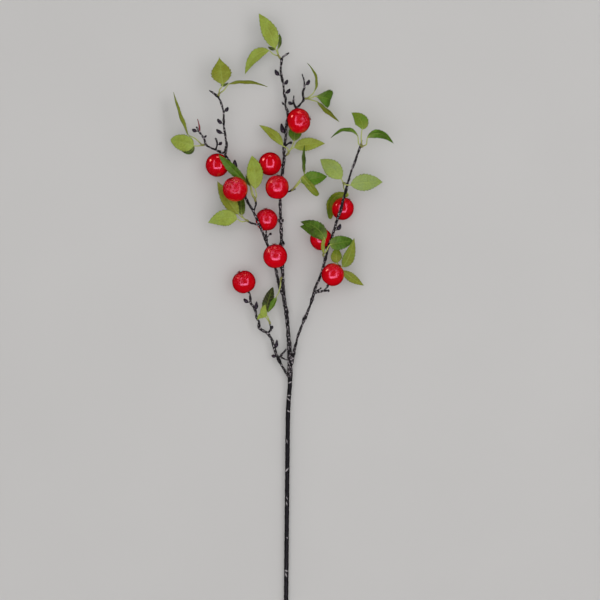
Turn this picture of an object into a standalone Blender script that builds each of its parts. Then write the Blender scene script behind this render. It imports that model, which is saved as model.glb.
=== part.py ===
"""Artificial hawthorn berry spray, lying on a flat surface.

A wrapped wire stem runs on as the centre branch and carries three side branches. Eleven lacquered
berries sit on pegs, and small leaf sprigs are pushed onto pegs of their own.

Frame: metres, +Z up from the surface, +Y from the cut end towards the top twig, with the origin
under the middle of the spray.

Places are held on a layout sheet 600 mm square that lies over the spray: across from its left
edge, down from its top edge, and height above the surface, all in millimetres. The sheet is the
photograph's own frame, at one millimetre a pixel.
"""

import math
from collections import namedtuple

import bmesh
import bpy
from mathutils import Matrix, Vector

MM = 0.001

# Driving dimensions, in millimetres
SHEET_CENTRE = (282.2, 309.8)
CLEARANCE = 0.3
STEM_END_DOWN = 606.0
STEM_END_HEIGHT = 2.05
STEM_RISE = 0.0134
PEG_RADIUS = 0.8
PEG_DEPTH = 5.0
SPRIG_PEG_RADIUS = 0.6
SOCKET_RADIUS = 1.6
SOCKET_CAP = 1.3
STALK_RADIUS = 0.65
BLADE_THICKNESS = 0.8
BLADE_NECK = 1.3
CROWN_RADIUS = 3.0
CROWN_HEIGHT = 0.8
SLAB_SIZE = (300.0, 660.0, 20.0)

# Shares and angles
BLADE_FOLD = math.radians(14)
TOOTH = 0.07
OVAL_SHIFT = 0.8
OVAL_FULLNESS = 0.9
STALK_RUN = 0.14
STALK_SINK = 0.4
SOCKET_MOUTH = 0.55
BERRY_HEIGHT_RATIO = 0.95
DIMPLE_DEPTH = 0.07
DIMPLE_WIDTH = 0.3
HOLE_START = 1.2
CROWN_TAPER = 0.8
CROWN_NOTCH = 0.6
BUD_TAPER = 0.4
SMOOTH_ANGLE = math.radians(40)

# Mesh fineness
STEM_RESOLUTION = 2
TWIG_RESOLUTION = 1
STALK_RESOLUTION = 0
BLADE_STATIONS = 9
NARROW_STATIONS = 7
NARROW_WIDTH = 9.5
BERRY_SEGMENTS = 14
BERRY_RINGS = 8
CROWN_POINTS = 5
BUD_SEGMENTS = 6
BUD_RINGS = 3
WELD = 0.00001

Berry = namedtuple("Berry", "name centre radius crown host root")
Leaf = namedtuple("Leaf", "base middle tip width roll stalk")
Sprig = namedtuple("Sprig", "name host root end leaves")
Bud = namedtuple("Bud", "root tip width")


def stem_height(down):
    """Height of the main stem's axis, which rises evenly from its cut end."""
    return STEM_END_HEIGHT + (STEM_END_DOWN - down) * STEM_RISE


# Main stem and centre branch: across, down, radius
MAIN_STEM = [
    (286.0, STEM_END_DOWN, 2.2), (287.0, 500.0, 2.2), (288.0, 392.0, 2.2), (289.8, 384.0, 2.5),
    (290.4, 374.0, 2.8), (290.2, 362.0, 3.0), (289.5, 351.0, 2.7), (288.5, 336.0, 2.1),
    (287.1, 320.0, 2.0), (286.0, 310.8, 2.2), (283.9, 297.4, 2.0), (282.9, 286.0, 1.8),
    (282.3, 268.8, 1.7), (281.6, 243.0, 1.7), (280.7, 220.0, 1.6), (280.1, 201.0, 1.5),
    (282.4, 172.2, 1.4), (283.9, 158.8, 1.4), (283.9, 147.4, 1.5), (285.3, 140.2, 1.3),
    (286.4, 124.4, 1.3), (288.0, 113.9, 1.3), (285.3, 104.3, 1.3), (285.8, 99.6, 1.2),
    (284.3, 94.3, 1.2), (283.4, 84.2, 1.1), (281.6, 76.5, 1.2), (280.7, 68.9, 1.1),
    (282.4, 57.4, 1.0), (289.3, 52.5, 0.7),
]

# Side branches and twigs: across, down, height, radius
MAIN_TWIGS = [
    [(285.6, 129.0, 8.5, 1.1), (290.0, 119.0, 8.6, 1.1), (294.0, 112.5, 9.8, 1.1),
     (296.5, 108.4, 11.0, 1.2), (300.6, 103.9, 12.5, 1.1), (303.5, 100.0, 13.4, 1.2),
     (303.0, 93.3, 14.0, 1.0), (304.6, 86.0, 14.3, 1.1), (304.0, 80.5, 14.5, 0.9),
     (302.0, 74.0, 14.6, 0.7)],
    [(296.5, 108.4, 11.0, 1.0), (293.4, 102.0, 12.0, 1.0), (293.9, 95.3, 12.5, 0.7)],
    [(280.3, 196.0, 7.5, 1.0), (289.0, 191.2, 8.4, 1.1), (295.9, 188.6, 9.0, 0.8)],
    [(283.9, 146.8, 8.2, 0.9), (290.1, 142.1, 8.2, 0.8)],
]
LEFT_LOW_BRANCH = [
    [(290.0, 378.0, 5.1, 1.5), (283.3, 368.3, 5.4, 1.5), (279.0, 360.2, 5.8, 1.6),
     (275.2, 351.5, 6.2, 1.5), (271.4, 339.0, 6.9, 1.4), (267.6, 333.6, 7.4, 1.4),
     (261.6, 329.8, 7.9, 1.3), (259.0, 327.3, 8.2, 1.4), (259.0, 322.4, 8.5, 1.2),
     (256.6, 317.4, 8.9, 1.2), (255.5, 311.1, 9.4, 1.2), (253.4, 306.6, 9.9, 1.1),
     (250.4, 302.4, 10.3, 1.1), (250.3, 296.0, 10.9, 1.0), (248.9, 292.2, 11.3, 0.9)],
    [(279.0, 358.0, 5.9, 1.1), (282.8, 353.4, 8.0, 0.9), (286.6, 348.8, 9.8, 0.8)],
    [(280.0, 357.0, 6.4, 0.9), (283.5, 358.6, 8.6, 0.8), (287.1, 360.2, 10.2, 0.8)],
    [(267.6, 333.6, 7.4, 1.1), (270.8, 328.7, 8.3, 1.1), (270.6, 325.6, 8.8, 1.0)],
]
LEFT_HIGH_BRANCH = [
    [(284.2, 299.0, 6.2, 1.4), (281.2, 291.5, 6.5, 1.5), (279.2, 286.0, 6.7, 1.5),
     (276.9, 275.0, 7.1, 1.4), (275.4, 268.8, 7.4, 1.4), (271.5, 257.0, 8.6, 1.3),
     (267.7, 245.8, 11.2, 1.3), (265.8, 239.7, 13.6, 1.6), (261.2, 229.0, 17.8, 1.3),
     (258.9, 223.6, 19.4, 1.3), (256.6, 218.3, 18.8, 1.3), (252.8, 210.6, 17.0, 1.3),
     (245.9, 198.4, 14.9, 1.3), (243.5, 190.0, 13.9, 1.2), (241.8, 182.0, 13.7, 1.2),
     (236.0, 173.0, 14.4, 1.2), (229.6, 162.1, 15.8, 1.3), (225.4, 153.7, 16.2, 1.5),
     (226.5, 145.3, 16.4, 1.2), (225.4, 136.0, 16.4, 1.2), (224.0, 126.0, 16.2, 1.1),
     (223.7, 112.9, 15.8, 1.1), (221.7, 105.2, 15.5, 1.1), (218.2, 97.6, 15.4, 1.1),
     (213.4, 93.3, 15.6, 0.9), (209.1, 90.4, 15.8, 0.7)],
    [(225.4, 153.7, 16.2, 1.2), (215.8, 150.2, 16.3, 1.1), (205.9, 144.3, 16.2, 1.1),
     (204.5, 139.0, 16.0, 1.0), (202.1, 135.7, 15.8, 1.0), (198.3, 130.4, 15.6, 0.9),
     (196.4, 126.6, 15.6, 0.7)],
    [(215.8, 150.2, 16.3, 0.9), (217.3, 143.5, 16.6, 0.9), (215.4, 137.8, 16.8, 0.7)],
    [(253.5, 212.0, 17.2, 1.0), (256.1, 203.4, 17.5, 0.9), (255.8, 200.5, 17.7, 0.9),
     (254.4, 196.2, 17.8, 0.7)],
    [(258.9, 225.0, 19.3, 1.1), (250.9, 222.9, 18.4, 1.0), (246.3, 219.7, 18.0, 0.8)],
    [(265.8, 239.0, 13.6, 1.0), (269.9, 233.8, 12.6, 0.9)],
]
RIGHT_BRANCH = [
    [(290.6, 366.0, 5.3, 1.6), (293.0, 358.5, 5.9, 1.6), (294.1, 352.6, 6.4, 1.6),
     (295.2, 347.2, 6.9, 1.5), (297.4, 337.9, 7.7, 1.5), (300.0, 330.4, 8.4, 1.4),
     (304.9, 318.2, 9.5, 1.6), (308.8, 309.0, 10.4, 1.4), (312.2, 299.0, 11.4, 1.5),
     (315.7, 286.9, 12.7, 1.4), (319.7, 277.7, 14.0, 1.3), (323.1, 267.4, 15.5, 1.3),
     (325.4, 258.8, 17.0, 1.3), (328.3, 247.3, 19.0, 1.3), (332.3, 235.8, 20.8, 1.3),
     (334.6, 228.9, 21.7, 1.3), (337.5, 218.6, 22.8, 1.5), (340.6, 210.0, 23.4, 1.5),
     (342.3, 202.8, 23.8, 1.4), (346.1, 189.4, 24.0, 1.2), (349.9, 176.0, 24.0, 1.1),
     (355.4, 160.0, 23.5, 1.3), (358.0, 152.8, 23.1, 1.1), (360.2, 146.6, 22.6, 1.0),
     (361.6, 140.4, 22.2, 0.8)],
    [(314.2, 293.2, 12.0, 1.1), (322.6, 290.9, 14.6, 1.0), (327.4, 287.2, 17.4, 0.9)],
    [(322.6, 290.9, 14.6, 0.9), (327.7, 290.6, 15.4, 0.9)],
    [(315.0, 293.0, 12.3, 0.9), (321.4, 287.5, 13.6, 0.8)],
    [(324.0, 264.0, 16.2, 1.0), (324.8, 260.5, 17.4, 1.0), (324.2, 257.6, 18.3, 0.9)],
    [(322.4, 269.4, 15.2, 1.0), (328.0, 266.0, 12.6, 0.9), (334.4, 264.8, 12.2, 0.9)],
]

# Buds, thorns and knobs on each stem
MAIN_BUDS = [
    Bud((281.2, 75.6, 9.1), (275.3, 69.3, 9.6), 3.4), Bud((283.2, 84.4, 9.1), (287.4, 79.4, 9.6), 3),
    Bud((284, 93.4, 8.9), (289.8, 88.4, 9.4), 3), Bud((285.6, 134, 8.4), (281.4, 123.1, 8.8), 3.8),
    Bud((285.8, 104.9, 8.8), (282, 101.4, 9.2), 1.8), Bud((279.6, 243.2, 6.9), (286, 242.9, 7.1), 3.8),
    Bud((278, 220.4, 7.2), (284, 220.6, 7.3), 3.6), Bud((288.6, 143.2, 8.2), (291.6, 141.2, 8.2), 2.6),
    Bud((294.4, 104.4, 11.6), (288.6, 101.4, 12), 3), Bud((304.8, 85.4, 14.3), (309.2, 79.8, 14.6), 3),
]
LEFT_LOW_BUDS = [
    Bud((275.2, 348.8, 6.4), (276.9, 339.6, 7.2), 2.8), Bud((278, 357, 5.9), (271.8, 355, 6.3), 2.8),
    Bud((254.9, 310.4, 9.5), (256.6, 301.4, 10.4), 3.2), Bud((250.6, 302.8, 10.3), (244, 298.4, 10.7), 3),
    Bud((270, 328.8, 8.3), (272.4, 325.6, 8.6), 2.8),
]
LEFT_HIGH_BUDS = [
    Bud((223.6, 112, 15.8), (228, 107.2, 16.2), 3), Bud((224.2, 124.2, 16.2), (217.8, 118.8, 16.6), 3),
    Bud((225, 134, 16.4), (216.8, 129.2, 16.8), 3), Bud((199, 131.8, 15.7), (192.6, 129, 16), 3),
    Bud((203.2, 138, 15.9), (206.4, 135.2, 16.2), 1.8), Bud((217.2, 145, 16.5), (221.8, 142, 16.9), 2.8),
    Bud((234.8, 171.4, 14.6), (234.8, 159.8, 15.2), 4.4), Bud((268.9, 235, 12.8), (271, 232.6, 12.4), 2.4),
]
RIGHT_BUDS = [
    Bud((335.4, 230.6, 21.6), (340.2, 224, 22.2), 3.4), Bud((326.4, 290.8, 15.2), (329.4, 290.4, 15.6), 2.4),
]

# Berries: name, centre, radius, crown direction (across, down, up), host and root of the peg
BERRIES = [
    Berry("berry_01", (298.7, 121.6, 23), 12.3, (1, -0.2, 0.4), "main_stem", (286.4, 124.4, 8.5)),
    Berry("berry_02", (270, 163.8, 10.9), 11.4, (-0.7, -0.3, 0.6), "main_stem", (283.1, 165, 8)),
    Berry("berry_03", (277.2, 187.3, 21.6), 11.5, (0.1, -0.9, 0.6), "main_stem", (280.3, 199.5, 7.5)),
    Berry("berry_04", (217.2, 165, 10.9), 11.4, (-0.7, 0.4, 0.6), "left_high_branch", (228.2, 159.4, 15.9)),
    Berry("berry_05", (235.6, 189.6, 26.6), 12.2, (-0.4, -0.5, 0.8), "left_high_branch",
          (246.5, 199.4, 15.1)),
    Berry("berry_06", (266.6, 219.8, 10.3), 10.7, (-0.1, -1, 0.3), "left_high_branch", (265.9, 239.2, 13.4)),
    Berry("berry_07", (275.3, 256, 21.4), 11.6, (-0.1, -1, 0.4), "main_stem", (282.3, 271, 6.5)),
    Berry("berry_08", (243.9, 281.7, 11), 11.5, (-0.5, -0.8, 0.5), "left_low_branch", (249.3, 293.4, 11.3)),
    Berry("berry_09", (342.7, 208.2, 10.2), 10.7, (0.4, -0.6, -0.2), "right_branch", (337.7, 218.2, 22.7)),
    Berry("berry_10", (321, 239, 10.4), 10.8, (-0.5, -0.8, 0.1), "right_branch", (327.7, 249.8, 18.6)),
    Berry("berry_11", (332.7, 274.7, 22.4), 11.1, (0.7, -0.65, 0.4), "right_branch", (326.8, 287.8, 17)),
]

# Leaf sprigs: the peg's root and end, then the blades, each with the points of its rib at the
# base, half way and the tip, its width, its roll about the rib in degrees, and the points that
# its stalk passes between the socket and the base
SPRIGS = [
    Sprig("leaf_sprig_top", "main_stem", (281.9, 60.8, 9.4), (278.7, 56, 11.6), [
        Leaf((275.2, 48.2, 14), (268.6, 31, 17), (258.9, 14, 15), 17, 8, [(277, 52, 13.4)]),
        Leaf((268.8, 50.8, 13), (254.5, 56.5, 12.5), (245, 73.7, 6), 12, 15, [(273.5, 54.4, 13.4)]),
        Leaf((277.5, 49.4, 11.5), (279.8, 40.5, 10), (278.9, 33, 8.5), 5, 50, []),
    ]),
    Sprig("leaf_sprig_top_left", "left_high_branch", (218.5, 98.4, 15.4), (219, 94.4, 18), [
        Leaf((222.4, 85.4, 20), (219.6, 70.8, 20.5), (219.3, 57.4, 15), 18, 8, [(219.8, 90.5, 19.4)]),
        Leaf((229, 84.6, 19), (246.5, 81.4, 17), (267.4, 86.6, 9), 9, 70, [(224, 90.8, 19.6)]),
    ]),
    Sprig("leaf_sprig_far_left", "left_high_branch", (206.4, 144.6, 16.2), (202.4, 145.4, 18.6), [
        Leaf((193.5, 146, 19), (183, 143.5, 18.5), (170.8, 139.5, 12), 18, -10, [(198, 146.4, 19.6)]),
        Leaf((188, 134.7, 18.5), (179.8, 115.5, 17), (173.4, 92.2, 10), 10, 70, [(195.6, 139, 19.6)]),
    ]),
    Sprig("leaf_sprig_top_right", "main_stem", (303, 99, 13.5), (306.8, 98.8, 15.8), [
        Leaf((314.6, 91.2, 18), (314.9, 77, 16), (307.3, 63.1, 11), 9, 72, [(311.4, 95.4, 17.6)]),
        Leaf((315.4, 97.2, 19), (325.2, 99.4, 17), (329.8, 101, 6), 18.5, 0, [(311.4, 98.2, 17.8)]),
        Leaf((317.5, 102, 15.2), (328.5, 111.3, 11.6), (339.3, 121.5, 7.4), 9, 72, [(312, 100.4, 16.2)]),
    ]),
    Sprig("leaf_sprig_upper_middle", "main_stem", (284.2, 157, 8.1), (288.4, 153.2, 10.6), [
        Leaf((282.5, 145.5, 13.4), (272.8, 134.6, 13.4), (259.2, 125, 9), 9, 20, [(288, 149.4, 13)]),
        Leaf((294.5, 147.5, 11.4), (308.5, 144, 11.4), (324.8, 143.4, 7.5), 14, 0, [(290.8, 149.2, 11.4)]),
        Leaf((294, 141, 10.5), (295, 132, 5.8), (295.4, 122, 3.4), 14, 0, [(292.2, 146.2, 11.4)]),
    ]),
    Sprig("leaf_sprig_middle_right", "main_stem", (290.4, 190.6, 8.6), (292.4, 189.8, 12.8), [
        Leaf((301, 182, 15.4), (313.5, 178.7, 16), (327.2, 176.5, 10), 16, -8, [(296.4, 186.6, 15.6)]),
        Leaf((304.3, 174.5, 16.4), (302.8, 160, 17), (304.6, 145.3, 16.5), 9, 64, [(300, 180, 17)]),
        Leaf((303.5, 177, 17.4), (310.5, 185, 18.5), (317.5, 197, 13), 9, 45, [(299, 182.6, 17.2)]),
    ]),
    Sprig("leaf_sprig_left_middle", "left_high_branch", (256, 202.4, 17.5), (255.3, 200.4, 21.5), [
        Leaf((255.3, 189, 21), (254.5, 172, 20), (251.8, 155.7, 12), 16, 0, [(256.6, 195.6, 22.6)]),
        Leaf((248.6, 185.2, 17.6), (237, 171.8, 20.2), (219.1, 155.5, 25.5), 10, -24, [(251.6, 194.6, 21)]),
        Leaf((250.9, 186.7, 20.8), (248.2, 181, 19), (245.8, 175.3, 16), 5, 30, [(253.4, 195, 22.2)]),
    ]),
    Sprig("leaf_sprig_left_low", "left_high_branch", (249, 222, 18.2), (247.4, 220.8, 22), [
        Leaf((237.1, 219, 19.6), (224, 217.5, 18.5), (208.2, 222.6, 10), 16, 0, [(242.6, 222, 21.6)]),
        Leaf((238.5, 214.3, 17.5), (227.5, 199.5, 13), (217.3, 181.3, 6.5), 15, 12, [(242.6, 217.8, 21)]),
        Leaf((241.5, 213, 16.6), (241, 202, 11), (239.5, 190, 6.5), 9, 0, [(243.6, 217.4, 20)]),
    ]),
    Sprig("leaf_sprig_right_tip", "right_branch", (359.8, 147.8, 22.6), (362, 147.2, 26.6), [
        Leaf((361.8, 130.2, 26.6), (360.2, 121.4, 26), (351.4, 113.2, 19), 13, 0, [(360.8, 139, 28)]),
        Leaf((357.5, 136.7, 26.6), (345.2, 131, 24), (331, 138, 15), 9, 60, [(358.2, 144.2, 28)]),
        Leaf((367.6, 139, 26), (379, 134, 23), (393.5, 143.5, 13), 10, 38, [(366.2, 145, 27.4)]),
    ]),
    Sprig("leaf_sprig_right_upper", "right_branch", (347.6, 184.2, 24), (343.4, 183.6, 25), [
        Leaf((341, 179.5, 26), (331.5, 168.5, 24), (320.3, 159.6, 14), 17, 0, []),
        Leaf((350.5, 185.7, 27.2), (366, 182.8, 25.5), (382.3, 182.2, 14), 18, 0, [(344.4, 185, 27.8)]),
        Leaf((348.5, 195, 17.5), (333.5, 198.3, 7.2), (327.8, 219, 3.8), 10.5, -58,
             [(343.4, 187.6, 21), (346.8, 192.6, 18.6)]),
    ]),
    Sprig("leaf_sprig_right_middle", "right_branch", (324.4, 258.6, 18), (323.2, 254.8, 19.8), [
        Leaf((323.1, 238.5, 24.4), (315, 228, 21.5), (300.5, 221.8, 12), 14, 0, [(323.2, 246.5, 24.2)]),
        Leaf((322.3, 239.3, 23.2), (312.5, 230, 18), (299.9, 226.4, 8), 12, 0, [(322.8, 246.5, 23.4)]),
        Leaf((330, 244.8, 22.8), (340.5, 242.8, 22), (352.5, 240.4, 13.5), 15, 0, [(326.6, 250.6, 22.8)]),
    ]),
    Sprig("leaf_sprig_right_low", "right_branch", (333.8, 264.9, 12.2), (338, 265.8, 13.6), [
        Leaf((337.5, 262.5, 15.6), (336.3, 256, 16.5), (337.5, 246.5, 13), 10.5, 0, []),
        Leaf((342, 265, 16), (349, 255.5, 18), (354, 238.3, 20), 12, 10, []),
        Leaf((342.6, 270.8, 14.6), (352.2, 278.2, 13.5), (363.8, 285.4, 7), 9.5, 0, []),
    ]),
    Sprig("leaf_sprig_bottom_left", "left_low_branch", (270.5, 326.2, 8.7), (269.6, 322.2, 9.8), [
        Leaf((267, 311.5, 12), (268, 299, 13), (272.7, 287.1, 10), 12, 10, [(268.2, 316, 11.8)]),
        Leaf((265, 315.5, 11), (261.5, 312, 13.5), (259, 307, 10), 13, 0, []),
    ]),
    Sprig("hanging_leaf", "main_stem", (282.4, 276, 6.4), (280.8, 279, 11.6), [
        Leaf((274.8, 298.5, 17), (271.5, 305.5, 18.5), (267, 313.2, 17.5), 7, 40,
             [(280.3, 285, 15), (278.6, 292.2, 16.6)]),
    ]),
]


def place(point):
    """Turn a place on the layout sheet into metres in the frame."""
    across, down, height = point[:3]
    return Vector((across - SHEET_CENTRE[0], SHEET_CENTRE[1] - down, height)) * MM


def heading(direction):
    """Turn a direction on the layout sheet into a unit vector in the frame."""
    across, down, up = direction
    return Vector((across, -down, up)).normalized()


def clear_scene():
    for obj in list(bpy.data.objects):
        bpy.data.objects.remove(obj, do_unlink=True)


def collection(name):
    made = bpy.data.collections.new(name)
    bpy.context.scene.collection.children.link(made)
    return made


def material(name, colour, roughness, coat=0.0):
    made = bpy.data.materials.new(name)
    made.use_nodes = True
    shader = made.node_tree.nodes["Principled BSDF"]
    shader.inputs["Base Color"].default_value = (*colour, 1.0)
    shader.inputs["Roughness"].default_value = roughness
    shader.inputs["Metallic"].default_value = 0.0
    shader.inputs["Coat Weight"].default_value = coat
    return made


def loose_object(name, data):
    obj = bpy.data.objects.new(name, data)
    bpy.context.scene.collection.objects.link(obj)
    return obj


def baked(obj):
    """Replace an object by a plain mesh of its evaluated shape."""
    graph = bpy.context.evaluated_depsgraph_get()
    mesh = bpy.data.meshes.new_from_object(obj.evaluated_get(graph))
    made = loose_object(obj.name + "_mesh", mesh)
    made.matrix_world = obj.matrix_world
    bpy.data.objects.remove(obj, do_unlink=True)
    return made


def weld_caps(obj):
    """Join a curve's loose end caps to its wall."""
    work = bmesh.new()
    work.from_mesh(obj.data)
    bmesh.ops.remove_doubles(work, verts=work.verts, dist=WELD)
    work.to_mesh(obj.data)
    work.free()
    return obj


def tube(points, radii, resolution):
    """A closed tube along straight runs, with a radius in metres at each point."""
    curve = bpy.data.curves.new("tube", "CURVE")
    curve.dimensions = "3D"
    curve.bevel_depth = MM
    curve.bevel_resolution = resolution
    curve.use_fill_caps = True
    spline = curve.splines.new("POLY")
    spline.points.add(len(points) - 1)
    for knot, point, radius in zip(spline.points, points, radii):
        knot.co = (*point, 1.0)
        knot.radius = radius / MM
    return weld_caps(baked(loose_object("tube", curve)))


def rod(start, end, radius, resolution=TWIG_RESOLUTION):
    return tube([start, end], [radius, radius], resolution)


def twig(knots, resolution=TWIG_RESOLUTION):
    return tube([place(knot) for knot in knots], [knot[3] * MM for knot in knots], resolution)


def pointing(direction):
    """Rotation that turns +Z onto a direction."""
    return Vector((0.0, 0.0, 1.0)).rotation_difference(direction).to_matrix().to_4x4()


def bud(spec):
    """A small closed ball drawn out from its root to a pointed tip."""
    root = place(spec.root)
    tip = place(spec.tip)
    work = bmesh.new()
    bmesh.ops.create_uvsphere(work, u_segments=BUD_SEGMENTS, v_segments=BUD_RINGS, radius=1.0)
    for vert in work.verts:
        taper = 1.0 - BUD_TAPER * max(vert.co.z, 0.0)
        vert.co.x *= taper * spec.width * MM / 2
        vert.co.y *= taper * spec.width * MM / 2
        vert.co.z *= (tip - root).length / 2
    setting = Matrix.Translation((root + tip) / 2) @ pointing(tip - root)
    bmesh.ops.transform(work, matrix=setting, verts=work.verts)
    mesh = bpy.data.meshes.new("bud")
    work.to_mesh(mesh)
    work.free()
    return loose_object("bud", mesh)


def fused(name, pieces):
    """One closed body from overlapping ones, by a single Boolean union on a collection."""
    base, rest = pieces[0], pieces[1:]
    others = collection(name + "_pieces")
    for piece in rest:
        bpy.context.scene.collection.objects.unlink(piece)
        others.objects.link(piece)
    union = base.modifiers.new("union", "BOOLEAN")
    union.operation = "UNION"
    union.operand_type = "COLLECTION"
    union.collection = others
    union.solver = "MANIFOLD"
    made = baked(base)
    made.name = name
    made.data.name = name
    for piece in list(others.objects):
        bpy.data.objects.remove(piece, do_unlink=True)
    bpy.data.collections.remove(others)
    return made


def as_cutter(obj, name, cutters):
    """Keep an object only as a cutting tool."""
    obj.name = name
    bpy.context.scene.collection.objects.unlink(obj)
    cutters.objects.link(obj)
    obj.hide_render = True
    obj.display_type = "WIRE"
    return obj


def cut(obj, cutter):
    difference = obj.modifiers.new("cut", "BOOLEAN")
    difference.operation = "DIFFERENCE"
    difference.object = cutter


def finish(obj, surface, spray, parent):
    """Give a finished piece its material, shading, collection and parent."""
    obj.data.materials.clear()
    obj.data.materials.append(surface)
    obj.data.shade_smooth()
    obj.data.set_sharp_from_angle(angle=SMOOTH_ANGLE)
    bpy.context.scene.collection.objects.unlink(obj)
    spray.objects.link(obj)
    obj.parent = parent
    return obj


def peg_for(berry):
    """The peg that carries a berry, from its root in the stem to well inside the berry."""
    centre = place(berry.centre)
    root = place(berry.root)
    inward = (centre - root).normalized()
    return root, centre - inward * (berry.radius - PEG_DEPTH) * MM


def main_knots(extra=0.0):
    return [(across, down, stem_height(down), radius + extra) for across, down, radius in MAIN_STEM]


def stem(name, routes, buds):
    """A stem or branch with its twigs, buds, berry pegs and sprig pegs in one body."""
    pieces = [twig(routes[0], STEM_RESOLUTION)]
    pieces += [twig(route) for route in routes[1:]]
    pieces += [bud(spec) for spec in buds]
    for berry in BERRIES:
        if berry.host == name:
            start, end = peg_for(berry)
            pieces.append(rod(start, end, PEG_RADIUS * MM))
    for sprig in SPRIGS:
        if sprig.host == name:
            pieces.append(rod(place(sprig.root), place(sprig.end), SPRIG_PEG_RADIUS * MM))
    return fused(name, pieces)


def rib(leaf, along):
    """The rib is the parabola through its base, middle and tip, at shares along from 0 to 1."""
    base, middle, tip = place(leaf.base), place(leaf.middle), place(leaf.tip)
    return (base * (1 - along) * (1 - 2 * along) + middle * 4 * along * (1 - along)
            + tip * along * (2 * along - 1))


def blade(leaf):
    """A leaf blade: a grid folded along its rib, with a toothed oval outline, given its thickness."""
    stations = NARROW_STATIONS if leaf.width < NARROW_WIDTH else BLADE_STATIONS
    work = bmesh.new()
    bmesh.ops.create_grid(work, x_segments=2, y_segments=stations, size=0.5)
    for vert in work.verts:
        along = min(max(vert.co.y + 0.5, 0.0), 1.0)
        across = 2 * vert.co.x
        step = 0.5 / stations
        forward = (rib(leaf, min(along + step, 1.0)) - rib(leaf, max(along - step, 0.0))).normalized()
        left = Vector((0.0, 0.0, 1.0)).cross(forward).normalized()
        normal = forward.cross(left)
        roll = Matrix.Rotation(math.radians(leaf.roll), 3, forward)
        tooth = 1 + TOOTH * (1 if round(along * stations) % 2 else -1)
        oval = max(math.sin(math.pi * along ** OVAL_SHIFT), 0.0) ** OVAL_FULLNESS
        half = max(leaf.width / 2 * oval * tooth, BLADE_NECK / 2) * MM
        offset = left * across * math.cos(BLADE_FOLD) + normal * abs(across) * math.sin(BLADE_FOLD)
        vert.co = rib(leaf, along) + roll @ offset * half
    bmesh.ops.triangulate(work, faces=work.faces)
    mesh = bpy.data.meshes.new("blade")
    work.to_mesh(mesh)
    work.free()
    obj = loose_object("blade", mesh)
    wall = obj.modifiers.new("wall", "SOLIDIFY")
    wall.thickness = BLADE_THICKNESS * MM
    wall.offset = 0.0
    return baked(obj)


def stalk(leaf, start):
    """A leaf stalk from the socket to a little way along the blade's rib."""
    points = [start] + [place(point) for point in leaf.stalk] + [rib(leaf, 0.0), rib(leaf, STALK_RUN)]
    return tube(points, [STALK_RADIUS * MM] * len(points), STALK_RESOLUTION)


def leaf_sprig(sprig, cutters):
    """A socket on its peg, with the stalks and blades that grow from it, in one body."""
    root, end = place(sprig.root), place(sprig.end)
    outward = (end - root).normalized()
    mouth = root + outward * ((end - root).length * SOCKET_MOUTH)
    top = end + outward * SOCKET_CAP * MM
    pieces = [rod(mouth, top, SOCKET_RADIUS * MM)]
    for leaf in sprig.leaves:
        pieces.append(blade(leaf))
        pieces.append(stalk(leaf, top - outward * SOCKET_CAP * STALK_SINK * MM))
    body = fused(sprig.name, pieces)
    hole = rod(root - outward * MM, end + outward * CLEARANCE * MM, (SPRIG_PEG_RADIUS + CLEARANCE) * MM)
    cut(body, as_cutter(hole, sprig.name + "_hole", cutters))
    return body


def crown():
    """The calyx on a berry: a low star of points standing in the dimple, at +Z."""
    work = bmesh.new()
    bmesh.ops.create_cone(work, segments=2 * CROWN_POINTS, cap_ends=True, radius1=CROWN_RADIUS * MM,
                          radius2=CROWN_RADIUS * CROWN_TAPER * MM, depth=2 * CROWN_HEIGHT * MM)
    for index, vert in enumerate(sorted(work.verts, key=lambda v: math.atan2(v.co.y, v.co.x))):
        if (index // 2) % 2:
            vert.co.x *= CROWN_NOTCH
            vert.co.y *= CROWN_NOTCH
    mesh = bpy.data.meshes.new("crown")
    work.to_mesh(mesh)
    work.free()
    return loose_object("crown", mesh)


def berry_body(berry, cutters):
    """A berry: a slightly flattened ball, dimpled at both ends, with a crown, a peg hole and,
    where it rests on the surface, a small flat spot."""
    radius = berry.radius * MM
    work = bmesh.new()
    bmesh.ops.create_uvsphere(work, u_segments=BERRY_SEGMENTS, v_segments=BERRY_RINGS, radius=radius)
    for vert in work.verts:
        ring = math.hypot(vert.co.x, vert.co.y) / radius
        dimple = DIMPLE_DEPTH * math.exp(-(ring / DIMPLE_WIDTH) ** 2)
        vert.co.z *= BERRY_HEIGHT_RATIO - dimple
    mesh = bpy.data.meshes.new(berry.name)
    work.to_mesh(mesh)
    work.free()
    ball = loose_object(berry.name, mesh)
    top = crown()
    top.location.z = radius * (BERRY_HEIGHT_RATIO - DIMPLE_DEPTH)
    bpy.context.view_layer.update()
    body = fused(berry.name, [ball, top])
    centre = place(berry.centre)
    body.matrix_world = Matrix.Translation(centre) @ pointing(heading(berry.crown))
    start, end = peg_for(berry)
    inward = (end - start).normalized()
    mouth = centre - inward * radius * HOLE_START
    hole = rod(mouth, end + inward * CLEARANCE * MM, (PEG_RADIUS + CLEARANCE) * MM)
    cut(body, as_cutter(hole, berry.name + "_hole", cutters))
    return body


def surface_slab(cutters):
    """What lies below the surface, which takes the small flat spots off what rests on it."""
    work = bmesh.new()
    bmesh.ops.create_cube(work, size=1.0)
    width, length, depth = (side * MM for side in SLAB_SIZE)
    bmesh.ops.scale(work, vec=(width, length, depth), verts=work.verts)
    bmesh.ops.translate(work, vec=(0.0, 0.0, -depth / 2), verts=work.verts)
    mesh = bpy.data.meshes.new("surface_slab")
    work.to_mesh(mesh)
    work.free()
    return as_cutter(loose_object("surface_slab", mesh), "surface_slab", cutters)


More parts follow.
